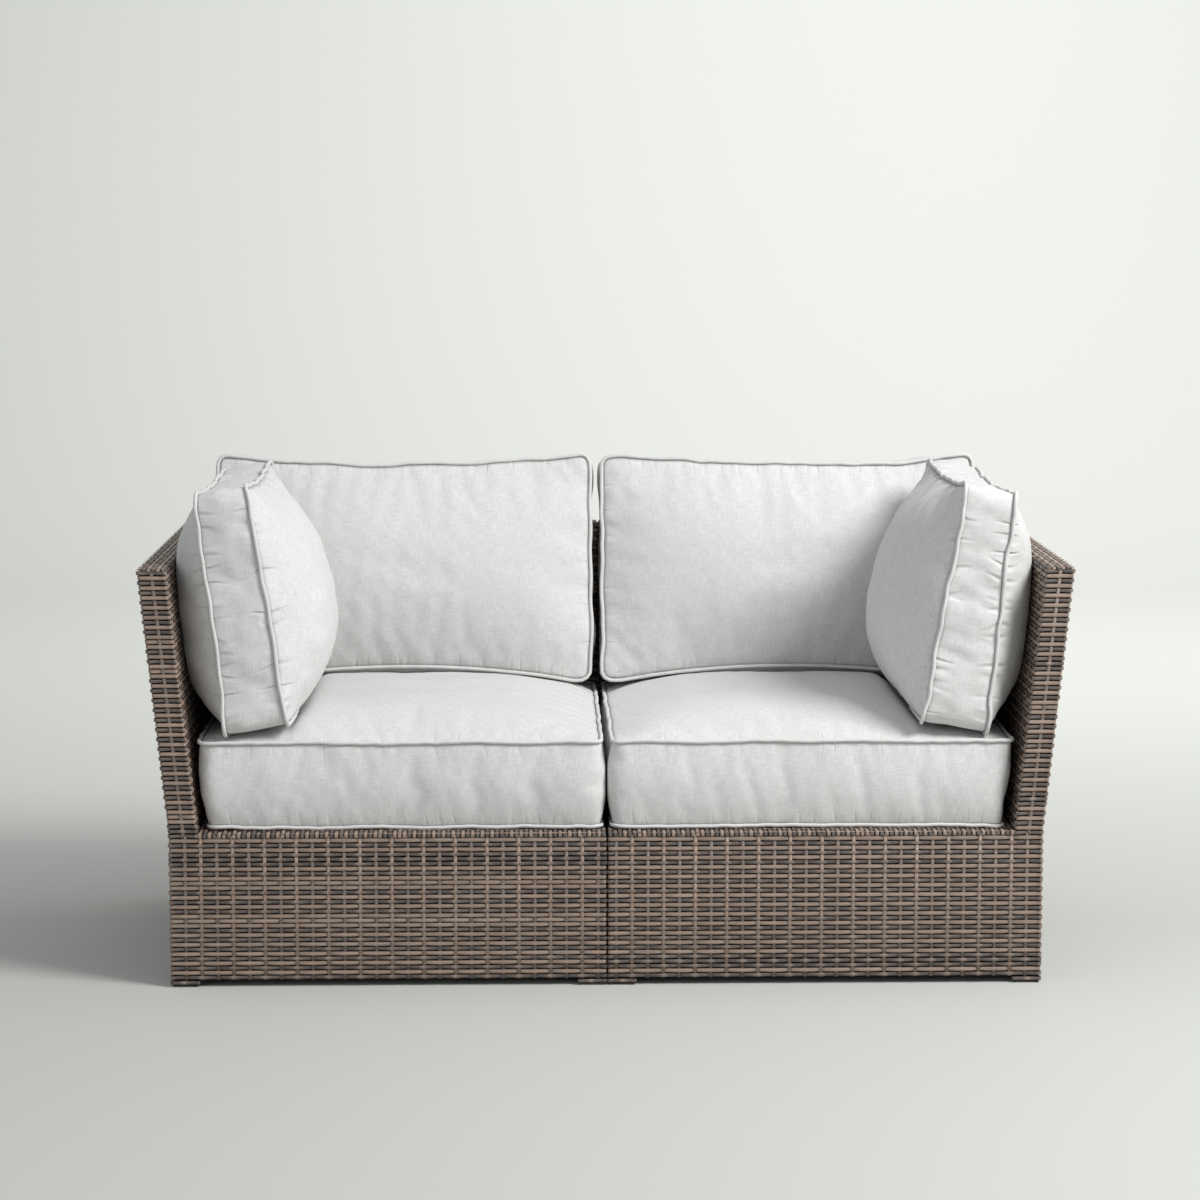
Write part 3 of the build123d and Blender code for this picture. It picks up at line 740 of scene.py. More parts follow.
HARD_FINISHES = {
    # name: colour, metallic, roughness, dust, and the endings of the CAD nodes that get it
    "Frame powder coat": (
        (0.045, 0.040, 0.036), 0.0, 0.42, 0.25, ("base_frame", "seat_slats", "arm_frame", "back_frame"),
    ),
    "Glide plastic": ((0.018, 0.018, 0.019), 0.0, 0.5, 0.35, ("foot_glides",)),
    "Clip plastic": ((0.03, 0.028, 0.027), 0.0, 0.48, 0.3, ("module_clips",)),
    "Screw steel": ((0.55, 0.54, 0.52), 1.0, 0.32, 0.2, ("clip_screws",)),
    "Zip tape": ((0.42, 0.42, 0.41), 0.0, 0.85, 0.1, ()),
    "Zip teeth": ((0.36, 0.36, 0.35), 0.0, 0.4, 0.1, ()),
    "Zip slider": ((0.62, 0.62, 0.61), 1.0, 0.28, 0.15, ("zip_slider",)),
}
CREASE_RATES = (20.0, 2.5, 0.45)  # how finely the creases lie along a seam, away from it and from seam to seam
CREASE_REACH = 0.04  # how far from the seam the creases run


def placed(tree, name, **inputs):
    """A named group placed in a material, its inputs set; its outputs."""
    return node(tree, "Group", inputs, node_tree=bpy.data.node_groups[name]).outputs


def new_material(name, **constants):
    """A material with a Principled shader whose plain sockets are set; its tree and the shader's inputs."""
    material = bpy.data.materials.new(name)
    material.use_nodes = True
    tree = material.node_tree
    inputs = tree.nodes["Principled BSDF"].inputs
    for key, value in constants.items():
        inputs[key.replace("_", " ")].default_value = value
    return tree, inputs


def full(value):
    """A colour with its alpha."""
    return (*value, 1.0)


def make_wicker_materials(wicker):
    """Strips: tone, chance and crown come from the strips' own values, grain from their UV map. A crown is
    lightened as painted highlight and wear, a strip's rims are darkened as painted shade, and the painted shade sheet
    behind the weave is all but black."""
    tree, shader = new_material("Wicker strips", Specular_IOR_Level=0.42)
    strip = attribute(tree, "Strip")["Color"]
    tone, chance, crown = node(tree, "SeparateColor", {0: strip}).outputs[:3]
    uv = on_surface(tree)
    grain = placed(tree, "Grain", Vector=uv, Length=0.030, Width=0.0011, Shift=chance)
    base = mixed(tree, tone, full(wicker.dark), full(wicker.tan))
    # painted highlight and wear: the crown over a stake is lightened towards a brighter tan, most on dark strips
    crown_highlight = maths(tree, "MULTIPLY", crown, maths(tree, "SUBTRACT", 0.80, scaled(tree, tone, 0.45)))
    base = mixed(tree, crown_highlight, base, full(np.array(wicker.tan) * 1.22))
    # brightness: some of its own, more from the fine and broad grain, and a little from chance
    light = maths(tree, "MULTIPLY_ADD", grain["Fine"], 0.80, 0.22)
    light = maths(tree, "MULTIPLY_ADD", grain["Broad"], 0.70, light)
    light = maths(tree, "MULTIPLY_ADD", chance, 0.16, light)
    across = maths(tree, "ABSOLUTE", node(tree, "SeparateXYZ", {0: uv}).outputs[1])
    # painted shade: a strip is darkened towards its rims, where it curves down to the gaps
    rim_shade = ranged(tree, across, wicker.strip_width * 0.26, wicker.strip_width * 0.5, 1.0, 0.36)
    base = darkened(tree, base, maths(tree, "MULTIPLY", light, rim_shade))
    dust = placed(tree, "Dust", Vector=on_object(tree), Color=base, Dust=(0.34, 0.29, 0.24, 1), Amount=0.14, Scale=14.0)
    link(tree, {
        "Base Color": dust["Color"],
        "Roughness": maths(tree, "MULTIPLY_ADD", grain["Fine"], 0.25, 0.38),
        "Normal": bumped(tree, grain["Fine"], 0.5, 0.0004),
    }, shader)

    # painted shade: near-black sheets behind the weave and under the tops stand for the unlit inside
    tree, shader = new_material("Wicker core", Roughness=0.95, Specular_IOR_Level=0.1)
    core, pale = full(wicker.core), (0.03, 0.025, 0.02, 1)
    dust = placed(tree, "Dust", Vector=on_object(tree), Color=core, Dust=pale, Amount=0.4, Scale=30.0)
    link(tree, {"Base Color": dust["Color"]}, shader)


def make_cloth_material(fabric, name, thread, slub):
    """Heathered cloth with a little dust: its tree, the shader's inputs, the colour and the threads' bump."""
    tree, shader = new_material(name, Specular_IOR_Level=0.2, Roughness=0.88, Sheen_Weight=0.12, Sheen_Roughness=0.5)
    cloth = placed(tree, "Cloth", Vector=on_surface(tree), Color=full(fabric.cloth), Thread=thread, Slub=slub)
    pale = (0.5, 0.49, 0.46, 1)
    dust = placed(tree, "Dust", Vector=on_object(tree), Color=cloth["Color"], Dust=pale, Amount=0.18, Scale=5.0)
    return tree, shader, dust["Color"], bumped(tree, cloth["Height"], 0.30, 0.0003)


def make_cloth_materials(fabric):
    """Piping and covers. Covers are darkened close to a seam as painted shade, and have creases square to it: ridges of
    noise that lies fine along the seam, coarse away from it, and fades with the distance from it."""
    tree, shader, tone, threads = make_cloth_material(fabric, "Piping cloth", 0.0009, 0.25)
    link(tree, {"Base Color": tone, "Normal": threads}, shader)

    tree, shader, tone, threads = make_cloth_material(fabric, "Cushion cloth", 0.0011, 0.34)
    seam, along, pull, level = (attribute(tree, name)["Fac"] for name in ("Seam", "Along", "Pull", "Level"))
    # painted shade: the cover darkens within a few millimetres of a seam, beside the piping
    painted_seam_shade = ranged(tree, seam, 0.001, 0.007, 0.72, 1.0, "SMOOTHSTEP")
    drawn = vector(tree, *(scaled(tree, value, rate) for value, rate in zip((along, seam, level), CREASE_RATES)))
    off = maths(tree, "ABSOLUTE", maths(tree, "SUBTRACT", noise(tree, drawn, 1.0), 0.5))
    ridge = ranged(tree, off, 0.0, 0.045, kind="SMOOTHSTEP")
    fade = ranged(tree, seam, 0.0, CREASE_REACH, 1.0, 0.0, "SMOOTHSTEP")
    height = maths(tree, "MULTIPLY", maths(tree, "MULTIPLY", ridge, fade), pull)
    creased = bumped(tree, height, 1.0, 0.0026, Normal=threads)
    link(tree, {"Base Color": darkened(tree, tone, painted_seam_shade), "Normal": creased}, shader)


def make_hard_materials():
    """Frame, glides, clips, screws, zip and slider: moulded plastic, powder coat and plated metal."""
    for name, (tone, metallic, rough, dusty, _) in HARD_FINISHES.items():
        tree, shader = new_material(name, Metallic=metallic, Specular_IOR_Level=0.4)
        where = on_object(tree)
        pale = (0.22, 0.20, 0.18, 1)
        dust = placed(tree, "Dust", Vector=where, Color=full(tone), Dust=pale, Amount=dusty, Scale=26.0)
        grain = placed(tree, "Grain", Vector=where, Length=0.004, Width=0.004, Shift=0.0)
        link(tree, {
            "Base Color": dust["Color"],
            "Roughness": maths(tree, "MULTIPLY_ADD", grain["Fine"], 0.22, rough - 0.1),
            "Normal": bumped(tree, grain["Fine"], 0.25, 0.0002),
        }, shader)


# ---------------------------------------------------------------- cushions

SETTLED = 1.2  # how fast the seat's lift fades from the middle of a cushion to its ends, times (2x/length)²
ZIP_RUN = 0.68  # length of the zip as a share of the cushion's
ZIP_TAPE = (0.024, 0.0012)  # width and thickness
ZIP_TOOTH = (0.0017, 0.0026, 0.0016)  # length, width and height
ZIP_PITCH = 0.0024  # from one tooth to the next
ZIP_OFFSET = 0.0007  # of each tooth to its side
ZIP_SUNK = 0.0016  # how far the boxing lies in under the zip
ZIP_QUIET = 0.02  # the seams don't wander in height within this distance of the zip's side
SEAM_OUTSIDE = 0.0024  # how far a piping's middle lies outside the boxing
PIPING_SIDES = 10
ZIP_EDGES = (0.004, 0.016, 0.012)  # softness of the flat strip's sides, its run past the zip, softness of its ends
CORNER_QUIET = 0.022  # width of the strip along a corner's diagonal in which the creases start
WANDER, RUCK = 0.13, 0.045  # lengths of the seams' long and short waves
BOX_UNEVEN = (0.003, 0.11)  # height and length of the boxing's waves
WRINKLE = (0.0014, 0.16, 0.03)  # height and length of the cover's waves, and how soon they start beside a seam
FRAMES = 20  # of the Cloth simulation
CLOTH = {
    "quality": 6, "mass": 0.25, "tension_stiffness": 12, "compression_stiffness": 12, "shear_stiffness": 6,
    "bending_stiffness": 0.4, "use_pressure": True, "shrink_min": -0.007,
}
DENT_RIM = 0.004  # softness of a dent's rim
DENT_FADE = 0.05  # how far behind the other cushion's edge its lifted seam still shows
DENT_CLEAR = (0.003, 0.009, 0.006)  # under the other cushion's seam, off its arch, and beside its boxing
UNDER_CROWN = 0.003  # how far a seat cushion's underside bulges before it is pressed flat
STAND_CLEAR = 0.001  # from a leaning cushion's lower seams down to what it stands on


def soft_noise(points, size, seed):
    """A smooth uneven field, mostly from -1 to 1: seven sines in seeded directions, with 0.6 to 1.5 waves to
    the size, added up and halved."""
    chance = np.random.default_rng(seed)
    total = np.zeros(points.shape[:-1])
    for _ in range(7):
        direction = unit(chance.normal(size=3))
        rate = 2 * math.pi / size
        total += np.sin(points @ direction * rate * chance.uniform(0.6, 1.5) + chance.uniform(0, 2 * math.pi))
    return total / 3.5


class Dent(NamedTuple):
    """The dent of another cushion in a seat: the edge of that cushion along an axis, the height of its
    lower seam, its middle and half its length along the other axis, and how far its seam is lifted."""

    axis: int
    edge: float
    level: float
    middle: float
    half: float
    arch: float


@dataclass
class Cushion:
    """A boxed, piped cushion worked out in its own frame: x along its length from 0, y along its
    thickness and z along its width, then set into place by an origin and three directions."""

    side: str
    name: str
    seed: int
    origin: np.ndarray
    axes: np.ndarray
    size: tuple  # length, thickness and width
    crowns: tuple  # how far the low and the high face bulge
    draw: float
    corner: float
    planes: list  # what it rests on, each a point and the direction into it
    dents: tuple = ()
    end_slope: float = 0.0
    splay: float = 0.0
    arch: float = 0.0
    stand: float = 0.0
    plump: float = 0.0
    lowest: float = 0.0  # where the top sags most, from -1 to 1 along the length
    uneven: tuple = (0.001, 0.0015, 0.0015)  # how far the seams wander along x, y and z
    ruck: float = 0.0008  # how far they ruck, in short waves
    creases: float = 0.35  # depth of the creases
    square: float = 2.4  # how flat the faces are between their edges
    box_swell: float = 0.006  # how far the boxing swells

    def __post_init__(self):
        self.origin = np.asarray(self.origin, float)
        self.axes = np.asarray(self.axes, float)
        self.fabric = bpy.context.scene.loveseat_fabric

    def shaped(self, x, y, z):
        """Own coordinates to the object's: the far end leans with the arm, the high side is drawn in by a
        parabola whose lowest point may lie off the middle, the boxing is wider at the foot, and the seat
        lifts one lower seam (the low side's for an arch below 0). The seams wander and ruck a little, but
        not in height beside the zip."""
        long, thick, wide = self.size
        across = np.clip(2 * x / long - 1, -1, 1)
        up = np.clip(z / wide + 0.5, 0, 1)
        lifted = (
            np.clip(np.sign(self.arch) * y / (thick / 2), 0, 1) ** 1.5 * (1 - up) ** 3
            * np.clip(1 - SETTLED * across**2, 0, 1)
        )
        y = y * (1 + self.plump / thick + self.splay / thick * (0.5 - up)) + self.stand * up
        lopsided = (across - self.lowest) / (1 - self.lowest * np.sign(across - self.lowest))
        z = z - self.draw * (1 - lopsided**2) * up**3 + abs(self.arch) * lifted
        x = x + self.end_slope * y * (across + 1) / 2
        local = np.stack([x, y, z], -1)
        wander = [
            soft_noise(local, WANDER, self.seed + 20 + k) * far
            + soft_noise(local, RUCK, self.seed + 30 + k) * self.ruck
            for k, far in enumerate(self.uneven)
        ]
        wander[2] = wander[2] * np.clip(up * wide / ZIP_QUIET, 0, 1)
        return self.origin + (local + np.stack(wander, -1)) @ self.axes

    def face_grid(self):
        """A grid over a rounded rectangle. In its corner squares p becomes p·sqrt(1 - q²/2) and q
        becomes q·sqrt(1 - p²/2), which rounds them to quarter circles. Gives x, z, both parameters from
        -1 to 1 and the numbers of faces."""
        long, _, wide = self.size
        radius = self.corner
        counts = [max(8, round(extent / self.fabric.step)) for extent in (long, wide)]
        u, v = np.meshgrid(*(np.linspace(-1, 1, count + 1) for count in counts), indexing="ij")
        halves = long / 2, wide / 2
        spots = [grid * half for grid, half in zip((u, v), halves)]
        pulls = [
            np.clip((np.abs(grid) * half - (half - radius)) / radius, 0, 1) for grid, half in zip((u, v), halves)
        ]
        moved = []
        for k in range(2):
            mine, other = pulls[k], pulls[1 - k]
            rounded = np.sign(spots[k]) * (halves[k] - radius + radius * mine * np.sqrt(1 - other**2 / 2))
            moved.append(np.where(mine > 0, rounded, spots[k]))
        return moved[0] + long / 2, moved[1], u, v, counts

    def cover(self):
        """Both faces and the boxing as one closed grid. A face bulges by its crown times
        ((1 - |u|^square)·(1 - |v|^square))^0.8, and the boxing swells by a half sine. Gives points, quads,
        UV, values and the pinned points, and keeps the lines of both seams."""
        long, thick, wide = self.size
        x, z, u, v, (i, j) = self.face_grid()
        flat_u, flat_v = (np.clip(1 - np.abs(grid) ** self.square, 0, 1) for grid in (u, v))
        fullness = (flat_u * flat_v) ** 0.8
        from_end, from_side = (1 - np.abs(u)) * long / 2, (1 - np.abs(v)) * wide / 2
        edge = np.minimum(from_end, from_side).ravel()

        # the border's points in order, and the seam's length up to each
        order = np.concatenate([
            np.arange(i) * (j + 1),
            i * (j + 1) + np.arange(j),
            (i - np.arange(i)) * (j + 1) + j,
            j - np.arange(j),
        ])
        ring = len(order)
        ring_x, ring_z = x.ravel()[order], z.ravel()[order]
        steps = np.hypot(np.roll(ring_x, -1) - ring_x, np.roll(ring_z, -1) - ring_z)
        lengths = np.concatenate([[0], np.cumsum(steps)])
        tangent = unit(np.stack([np.roll(line, -1) - np.roll(line, 1) for line in (ring_x, ring_z)], -1))
        normal = np.stack([tangent[:, 1], -tangent[:, 0]], -1)

        # where each point's nearest seam point lies along the seam, and how far from the corners' diagonals
        border = np.zeros((i + 1) * (j + 1))
        border[order] = lengths[:-1]
        border = border.reshape(i + 1, j + 1)
        row, column = np.meshgrid(np.arange(i + 1), np.arange(j + 1), indexing="ij")
        near_row, near_column = np.where(row < i / 2, 0, i), np.where(column < j / 2, 0, j)
        apart = from_end - from_side
        along = np.where(apart < 0, border[near_row, column], border[row, near_column]).ravel()
        pull = np.clip(np.abs(apart) / CORNER_QUIET - 0.5, 0, 1).ravel()

        # the boxing, swollen but for a flat strip under the zip
        box_rows = max(6, round(thick / self.fabric.step))
        t = np.linspace(0, 1, box_rows + 1)[1:-1]
        uneven = soft_noise(np.stack([ring_x, ring_z, ring_x * 0], -1), BOX_UNEVEN[1], self.seed)
        swell = np.sin(math.pi * t)[:, None] * (self.box_swell + BOX_UNEVEN[0] * uneven[None, :])
        side_edge, past, end_edge = ZIP_EDGES
        on_zip = np.clip((-ring_z - wide / 2 + side_edge) / side_edge, 0, 1)
        on_zip = on_zip * np.clip((ZIP_RUN / 2 * long + past - np.abs(ring_x - long / 2)) / end_edge, 0, 1)
        swell = swell * (1 - on_zip) - ZIP_SUNK * on_zip
        box_x = ring_x[None, :] + normal[None, :, 0] * swell
        box_z = ring_z[None, :] + normal[None, :, 1] * swell

        def on_box(values):
            return np.broadcast_to(values, box_x.shape).ravel()

        low_y, high_y = (
            (sign * (thick / 2 + crown * fullness)).ravel() for sign, crown in zip((-1, 1), self.crowns)
        )
        all_x = np.concatenate([x.ravel(), x.ravel(), box_x.ravel()])
        all_y = np.concatenate([low_y, high_y, on_box((t * thick - thick / 2)[:, None])])
        all_z = np.concatenate([z.ravel(), z.ravel(), box_z.ravel()])
        points = self.shaped(all_x, all_y, all_z)

        # quads of the faces, and of the boxing from the low face's border over its rows to the high one's
        face_size = (i + 1) * (j + 1)
        a, b = np.meshgrid(np.arange(i), np.arange(j), indexing="ij")
        corner = (a * (j + 1) + b).ravel()
        low_quads = np.stack([corner, corner + 1, corner + j + 2, corner + j + 1], -1)
        face_quads = np.concatenate([low_quads, low_quads[:, ::-1] + face_size])
        if outward(points, face_quads)[0, 0] != face_quads[0, 0]:
            face_quads = face_quads[:, ::-1]
        between = 2 * face_size + np.arange((box_rows - 1) * ring).reshape(-1, ring)
        levels = np.concatenate([order[None], between, face_size + order[None]])
        following = np.roll(levels, -1, axis=1)
        box_quads = np.stack([levels[:-1], following[:-1], following[1:], levels[1:]], -1).reshape(-1, 4)

        # UV: the faces lie flat, the boxing is unrolled beside them
        reach = np.linspace(0, thick, box_rows + 1)[:, None]
        corners = (
            (lengths[:-1], reach[:-1]), (lengths[1:], reach[:-1]), (lengths[1:], reach[1:]), (lengths[:-1], reach[1:]),
        )
        box_uv = np.stack([np.stack(np.broadcast_arrays(*pair), -1) for pair in corners], 2).reshape(-1, 4, 2)
        a, b, c = (points[box_quads[:, k]] for k in range(3))
        if np.einsum("ij,ij->i", np.cross(b - a, c - a), a - points.mean(0)).sum() < 0:
            box_quads, box_uv = box_quads[:, ::-1], box_uv[:, ::-1]
        quads = np.concatenate([face_quads, box_quads])
        uv = np.concatenate([np.stack([all_x, all_z], -1)[face_quads], box_uv])

        values = {
            "Seam": np.concatenate([edge, edge, on_box((np.minimum(t, 1 - t) * thick)[:, None])]),
            "Along": np.concatenate([along, along, on_box(lengths[None, :-1])]) + self.seed,
            "Pull": np.concatenate([pull, pull, on_box(pull[order][None])]) * self.creases,
            "Level": np.concatenate([np.zeros(face_size), np.ones(face_size), on_box(t[:, None])]),
        }
        pinned = np.concatenate([edge < 1e-6, edge < 1e-6, on_box(on_zip > 0.01)])
        out_x, out_z = ring_x + normal[:, 0] * SEAM_OUTSIDE, ring_z + normal[:, 1] * SEAM_OUTSIDE
        self.seams = [self.shaped(out_x, np.full(ring, y), out_z) for y in (-thick / 2, thick / 2)]
        return points, quads, uv, values, pinned

    def piping(self):
        """Round tubes along both seams: a circle carried along each closed line, its frame from the
        line's direction and the direction away from the cushion's middle."""
        parts = []
        radius = self.fabric.piping
        turn = np.arange(PIPING_SIDES) * 2 * math.pi / PIPING_SIDES
        for line in self.seams:
            tangent = unit(np.roll(line, -1, axis=0) - np.roll(line, 1, axis=0))
            away = line - line.mean(0)
            away = unit(away - tangent * np.einsum("ij,ij->i", away, tangent)[:, None])
            beside = np.cross(tangent, away)
            circle = away[:, None] * np.cos(turn)[None, :, None] + beside[:, None] * np.sin(turn)[None, :, None]
            points = (line[:, None] + radius * circle).reshape(-1, 3)
            distance = np.concatenate([[0], np.cumsum(np.linalg.norm(np.diff(line, axis=0), axis=1))])
            uv = np.stack([np.repeat(distance, PIPING_SIDES), np.tile(turn * radius, len(line))], -1)
            quads = outward(points, tube_quads(1, len(line), PIPING_SIDES, True))
            parts.append((points, quads, uv, np.zeros((len(points), 4))))
        return joined(parts)[:3]

    def zip_parts(self):
        """The zip on the low side of the boxing: two rows of teeth that mesh, and a tape. Each is
        a block: eight corners, scaled and set down at its place."""
        long, _, wide = self.size
        run = long * ZIP_RUN
        corner = np.array([[x, y, z] for x in (-0.5, 0.5) for y in (-0.5, 0.5) for z in (0, 1)], float)
        block = np.array([[0, 1, 3, 2], [4, 6, 7, 5], [0, 4, 5, 1], [2, 3, 7, 6], [0, 2, 6, 4], [1, 5, 7, 3]])
        count = int(run / ZIP_PITCH)
        middles = (np.arange(count) + 0.5) * run / count - run / 2 + long / 2
        beside = np.where(np.arange(count) % 2 == 0, -1.0, 1.0) * ZIP_OFFSET
        spots = np.stack([middles, beside, np.full(count, -wide / 2)], -1)
        tooth = corner * np.array(ZIP_TOOTH) * np.array([1, 1, -1])
        teeth = (spots[:, None] + tooth[None]).reshape(-1, 3)
        quads = (block[None] + (np.arange(count) * 8)[:, None, None]).reshape(-1, 4)
        tape = corner * np.array([run, *ZIP_TAPE]) + np.array([long / 2, 0, -wide / 2])
        local = np.concatenate([teeth, tape])
        quads = np.concatenate([quads, block + len(teeth)])
        points = self.origin + local @ self.axes
        slots = (np.arange(len(quads)) >= len(quads) - len(block)).astype(np.int32)
        return points, outward(points, quads), local[:, :2], slots

    def build(self):
        """Makes the cover, swells it, presses it flat where it rests, and adds piping and zip."""
        stem = f"{self.side}_{self.name}"
        body = stem if self.name.endswith("cushion") else f"{stem}_cushion"
        points, quads, uv, values, pinned = self.cover()
        high, far, start = WRINKLE
        loose = 1 - np.exp(-values["Seam"] / start)
        wrinkle = soft_noise(points * np.array([1.0, 1.0, 0.6]), far, self.seed + 3) * high * loose
        points = points + unit(points - points.mean(0)) * wrinkle[:, None]
        points, quads = for_side(self.side, points, quads)
        uv = uv if self.side == "right" else uv[:, ::-1]
        cover = new_piece(
            f"{stem}_cloth", points, quads, ["Cushion cloth"], body, [f"{stem}_cover", f"{stem}_foam"],
            uv.reshape(-1, 2), values,
        )
        swell(cover, pinned, self.fabric.pressure, self.fabric.cap)
        press(cover, self.planes, self.dents, self.side)
        smooth = cover.modifiers.new("Smooth", "SUBSURF")
        smooth.levels = smooth.render_levels = 1

        points, quads, uv = self.piping()
        points, quads = for_side(self.side, points, quads)
        piping = new_piece(
            f"{stem}_welt", points, quads, ["Piping cloth"], body, [f"{stem}_piping"], uv[quads.ravel()],
        )

        points, quads, uv, slots = self.zip_parts()
        points, quads = for_side(self.side, points, quads)
        new_piece(
            f"{stem}_zip_teeth", points, quads, ["Zip teeth", "Zip tape"], body, [f"{stem}_zip"],
            uv[quads.ravel()], slots=slots, smooth=False,
        )


def swell(piece, pinned, pressure, cap):
    """Swells a cover with Cloth: the seams and the zip stay where they are, the filling pushes the rest
    outwards, and no point moves further than the cap."""
    scene = bpy.context.scene
    before = read_points(piece.data.vertices)
    group = piece.vertex_groups.new(name="Seams")
    group.add(np.nonzero(pinned)[0].tolist(), 1.0, "REPLACE")
    cloth = piece.modifiers.new("Swell", "CLOTH")
    for key, value in CLOTH.items():
        setattr(cloth.settings, key, value)
    cloth.settings.uniform_pressure_force = pressure
    cloth.settings.vertex_group_mass = group.name
    cloth.settings.effector_weights.gravity = 0
    cloth.collision_settings.use_collision = False
    cloth.collision_settings.use_self_collision = False
    cloth.point_cache.frame_start, cloth.point_cache.frame_end = 1, FRAMES
    for number in range(1, FRAMES + 1):
        scene.frame_set(number)
    shape = piece.evaluated_get(bpy.context.evaluated_depsgraph_get()).to_mesh()
    move = read_points(shape.vertices) - before
    piece.modifiers.remove(cloth)
    piece.vertex_groups.remove(group)
    scene.frame_set(1)
    reach = np.linalg.norm(move, axis=1, keepdims=True)
    write_points(piece.data, before + move * np.minimum(1, cap / np.maximum(reach, 1e-9)))


def press(piece, planes, dents, side):
    """Presses a cover on what it rests on: points beyond a plane go back to it. Each dent is what another
    cushion's weight makes in the top: level well behind that cushion's edge, a little higher up to the edge
    as its lower seam is lifted there, and rising steeply in front of it. The rim is soft: the lower of
    both heights is -r·log(exp(-a/r) + exp(-b/r))."""
    turn = MIRROR if side == "left" else np.ones(3)
    points = read_points(piece.data.vertices) * turn
    for origin, direction in planes:
        direction = unit(np.asarray(direction, float))
        beyond = np.maximum((points - np.asarray(origin)) @ direction, 0)
        points = points - beyond[:, None] * direction
    for dent in dents:
        ahead = dent.edge - points[:, dent.axis]
        off = (points[:, 1 - dent.axis] - dent.middle) / dent.half
        lifted = np.clip(1 - SETTLED * off**2, 0, 1) * np.clip(1 + ahead / DENT_FADE, 0, 1)
        floor = dent.level + dent.arch * lifted + np.maximum(ahead, 0)
        points[:, 2] = -DENT_RIM * np.logaddexp(-points[:, 2] / DENT_RIM, -floor / DENT_RIM)
    write_points(piece.data, points * turn)


def middle_plane(module):
    """The plane where both modules meet, drawn in by the gap: a cushion's inner end stays on its side."""
    return np.array([module.half_gap, 0.0, 0.0]), (-1, 0, 0)


def panel_planes(module, fabric):
    """The inner faces of the back and the arm, each as a point and the direction away from the seat,
    drawn in by the rest clearance."""
    turn = math.atan2(module.lean, module.arm - module.deck)
    rear = module.front + module.width - module.panel
    outer = module.half_gap + module.width - module.panel
    back = np.array([0, math.cos(turn), -math.sin(turn)])
    arm = np.array([math.cos(turn), 0, -math.sin(turn)])
    return (
        (np.array([0, rear, module.deck]) - back * fabric.rest, back),
        (np.array([outer, 0, module.deck]) - arm * fabric.rest, arm),
    )


def underside(origin, up, height):
    """The plane that a leaning cushion stands on, a little under its lower seams."""
    return origin - up * (height / 2 + STAND_CLEAR), -up


# ---------------------------------------------------------------- stage

LIGHTS = {
    # name: place, the point that it shines at, and diameter
    "Key": ((3.1, -2.2, 3.7), (0, 0, 0.4), 2.0),
    "Fill": ((-3.2, -3.6, 2.2), (0, 0, 0.4), 3.0),
    "Wall": ((1.8, 2.5, 5.4), (1.2, 9.0, 2.5), 5.0),
}
FLOOR_FRONT, FLOOR_REAR, WALL_TOP = -14.0, 5.0, 14.0
BACKDROP_RADIUS, BACKDROP_HALF_WIDTH = 3.0, 16


def set_camera(scene, stage):
    """A camera at the photograph's angle."""
    lens = bpy.data.cameras.new("Camera")
    lens.lens = stage.lens
    lens.sensor_width = 36
    lens.dof.use_dof = False
    camera = bpy.data.objects.new("Camera", lens)
    camera.location = stage.camera
    camera.rotation_euler = (math.pi / 2 - stage.tilt, 0, -stage.turn)
    scene.collection.objects.link(camera)
    scene.camera = camera


def lay_backdrop(scene, stage):
    """Floor, a quarter round and a wall: one profile carried along X."""
    turn = np.linspace(0, math.pi / 2, 17)
    radius = BACKDROP_RADIUS
    bend = np.stack([FLOOR_REAR + radius * np.sin(turn), radius - radius * np.cos(turn)], -1)
    profile = np.concatenate([[[FLOOR_FRONT, 0.0]], bend, [[FLOOR_REAR + radius, WALL_TOP]]])
    across = np.linspace(-BACKDROP_HALF_WIDTH, BACKDROP_HALF_WIDTH, 9)
    count = len(profile)
    points = np.column_stack([np.repeat(across, count), np.tile(profile, (len(across), 1))])
    a, b = np.meshgrid(np.arange(len(across) - 1), np.arange(count - 1), indexing="ij")
    corner = (a * count + b).ravel()
    quads = np.stack([corner, corner + count, corner + count + 1, corner + 1], -1)
    mesh = bpy.data.meshes.new("backdrop")
    mesh.from_pydata(points.tolist(), [], quads.tolist())
    mesh.polygons.foreach_set("use_smooth", np.ones(len(quads), bool))
    _, shader = new_material("Backdrop paper", Roughness=0.9, Specular_IOR_Level=0.15)
    shader["Base Color"].default_value = full(stage.floor)
    mesh.materials.append(bpy.data.materials["Backdrop paper"])
    backdrop = bpy.data.objects.new("backdrop", mesh)
    scene.collection.objects.link(backdrop)


# ---------------------------------------------------------------- operators

class BuildMaterials(bpy.types.Operator):
    """Makes every finish and gives the carried-over frame, glides, clips, screws and sliders theirs"""

    bl_idname = "loveseat.materials"
    bl_label = "Finishes"

    def execute(self, context):
        make_grain_group()
        make_dust_group()
        make_cloth_group()
        make_wicker_materials(context.scene.loveseat_wicker)
        make_cloth_materials(context.scene.loveseat_fabric)
        make_hard_materials()
        for name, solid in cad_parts.items():
            for finish, (*_, endings) in HARD_FINISHES.items():
                if name.endswith(endings):
                    solid.data.materials.clear()
                    solid.data.materials.append(bpy.data.materials[finish])
        return {"FINISHED"}


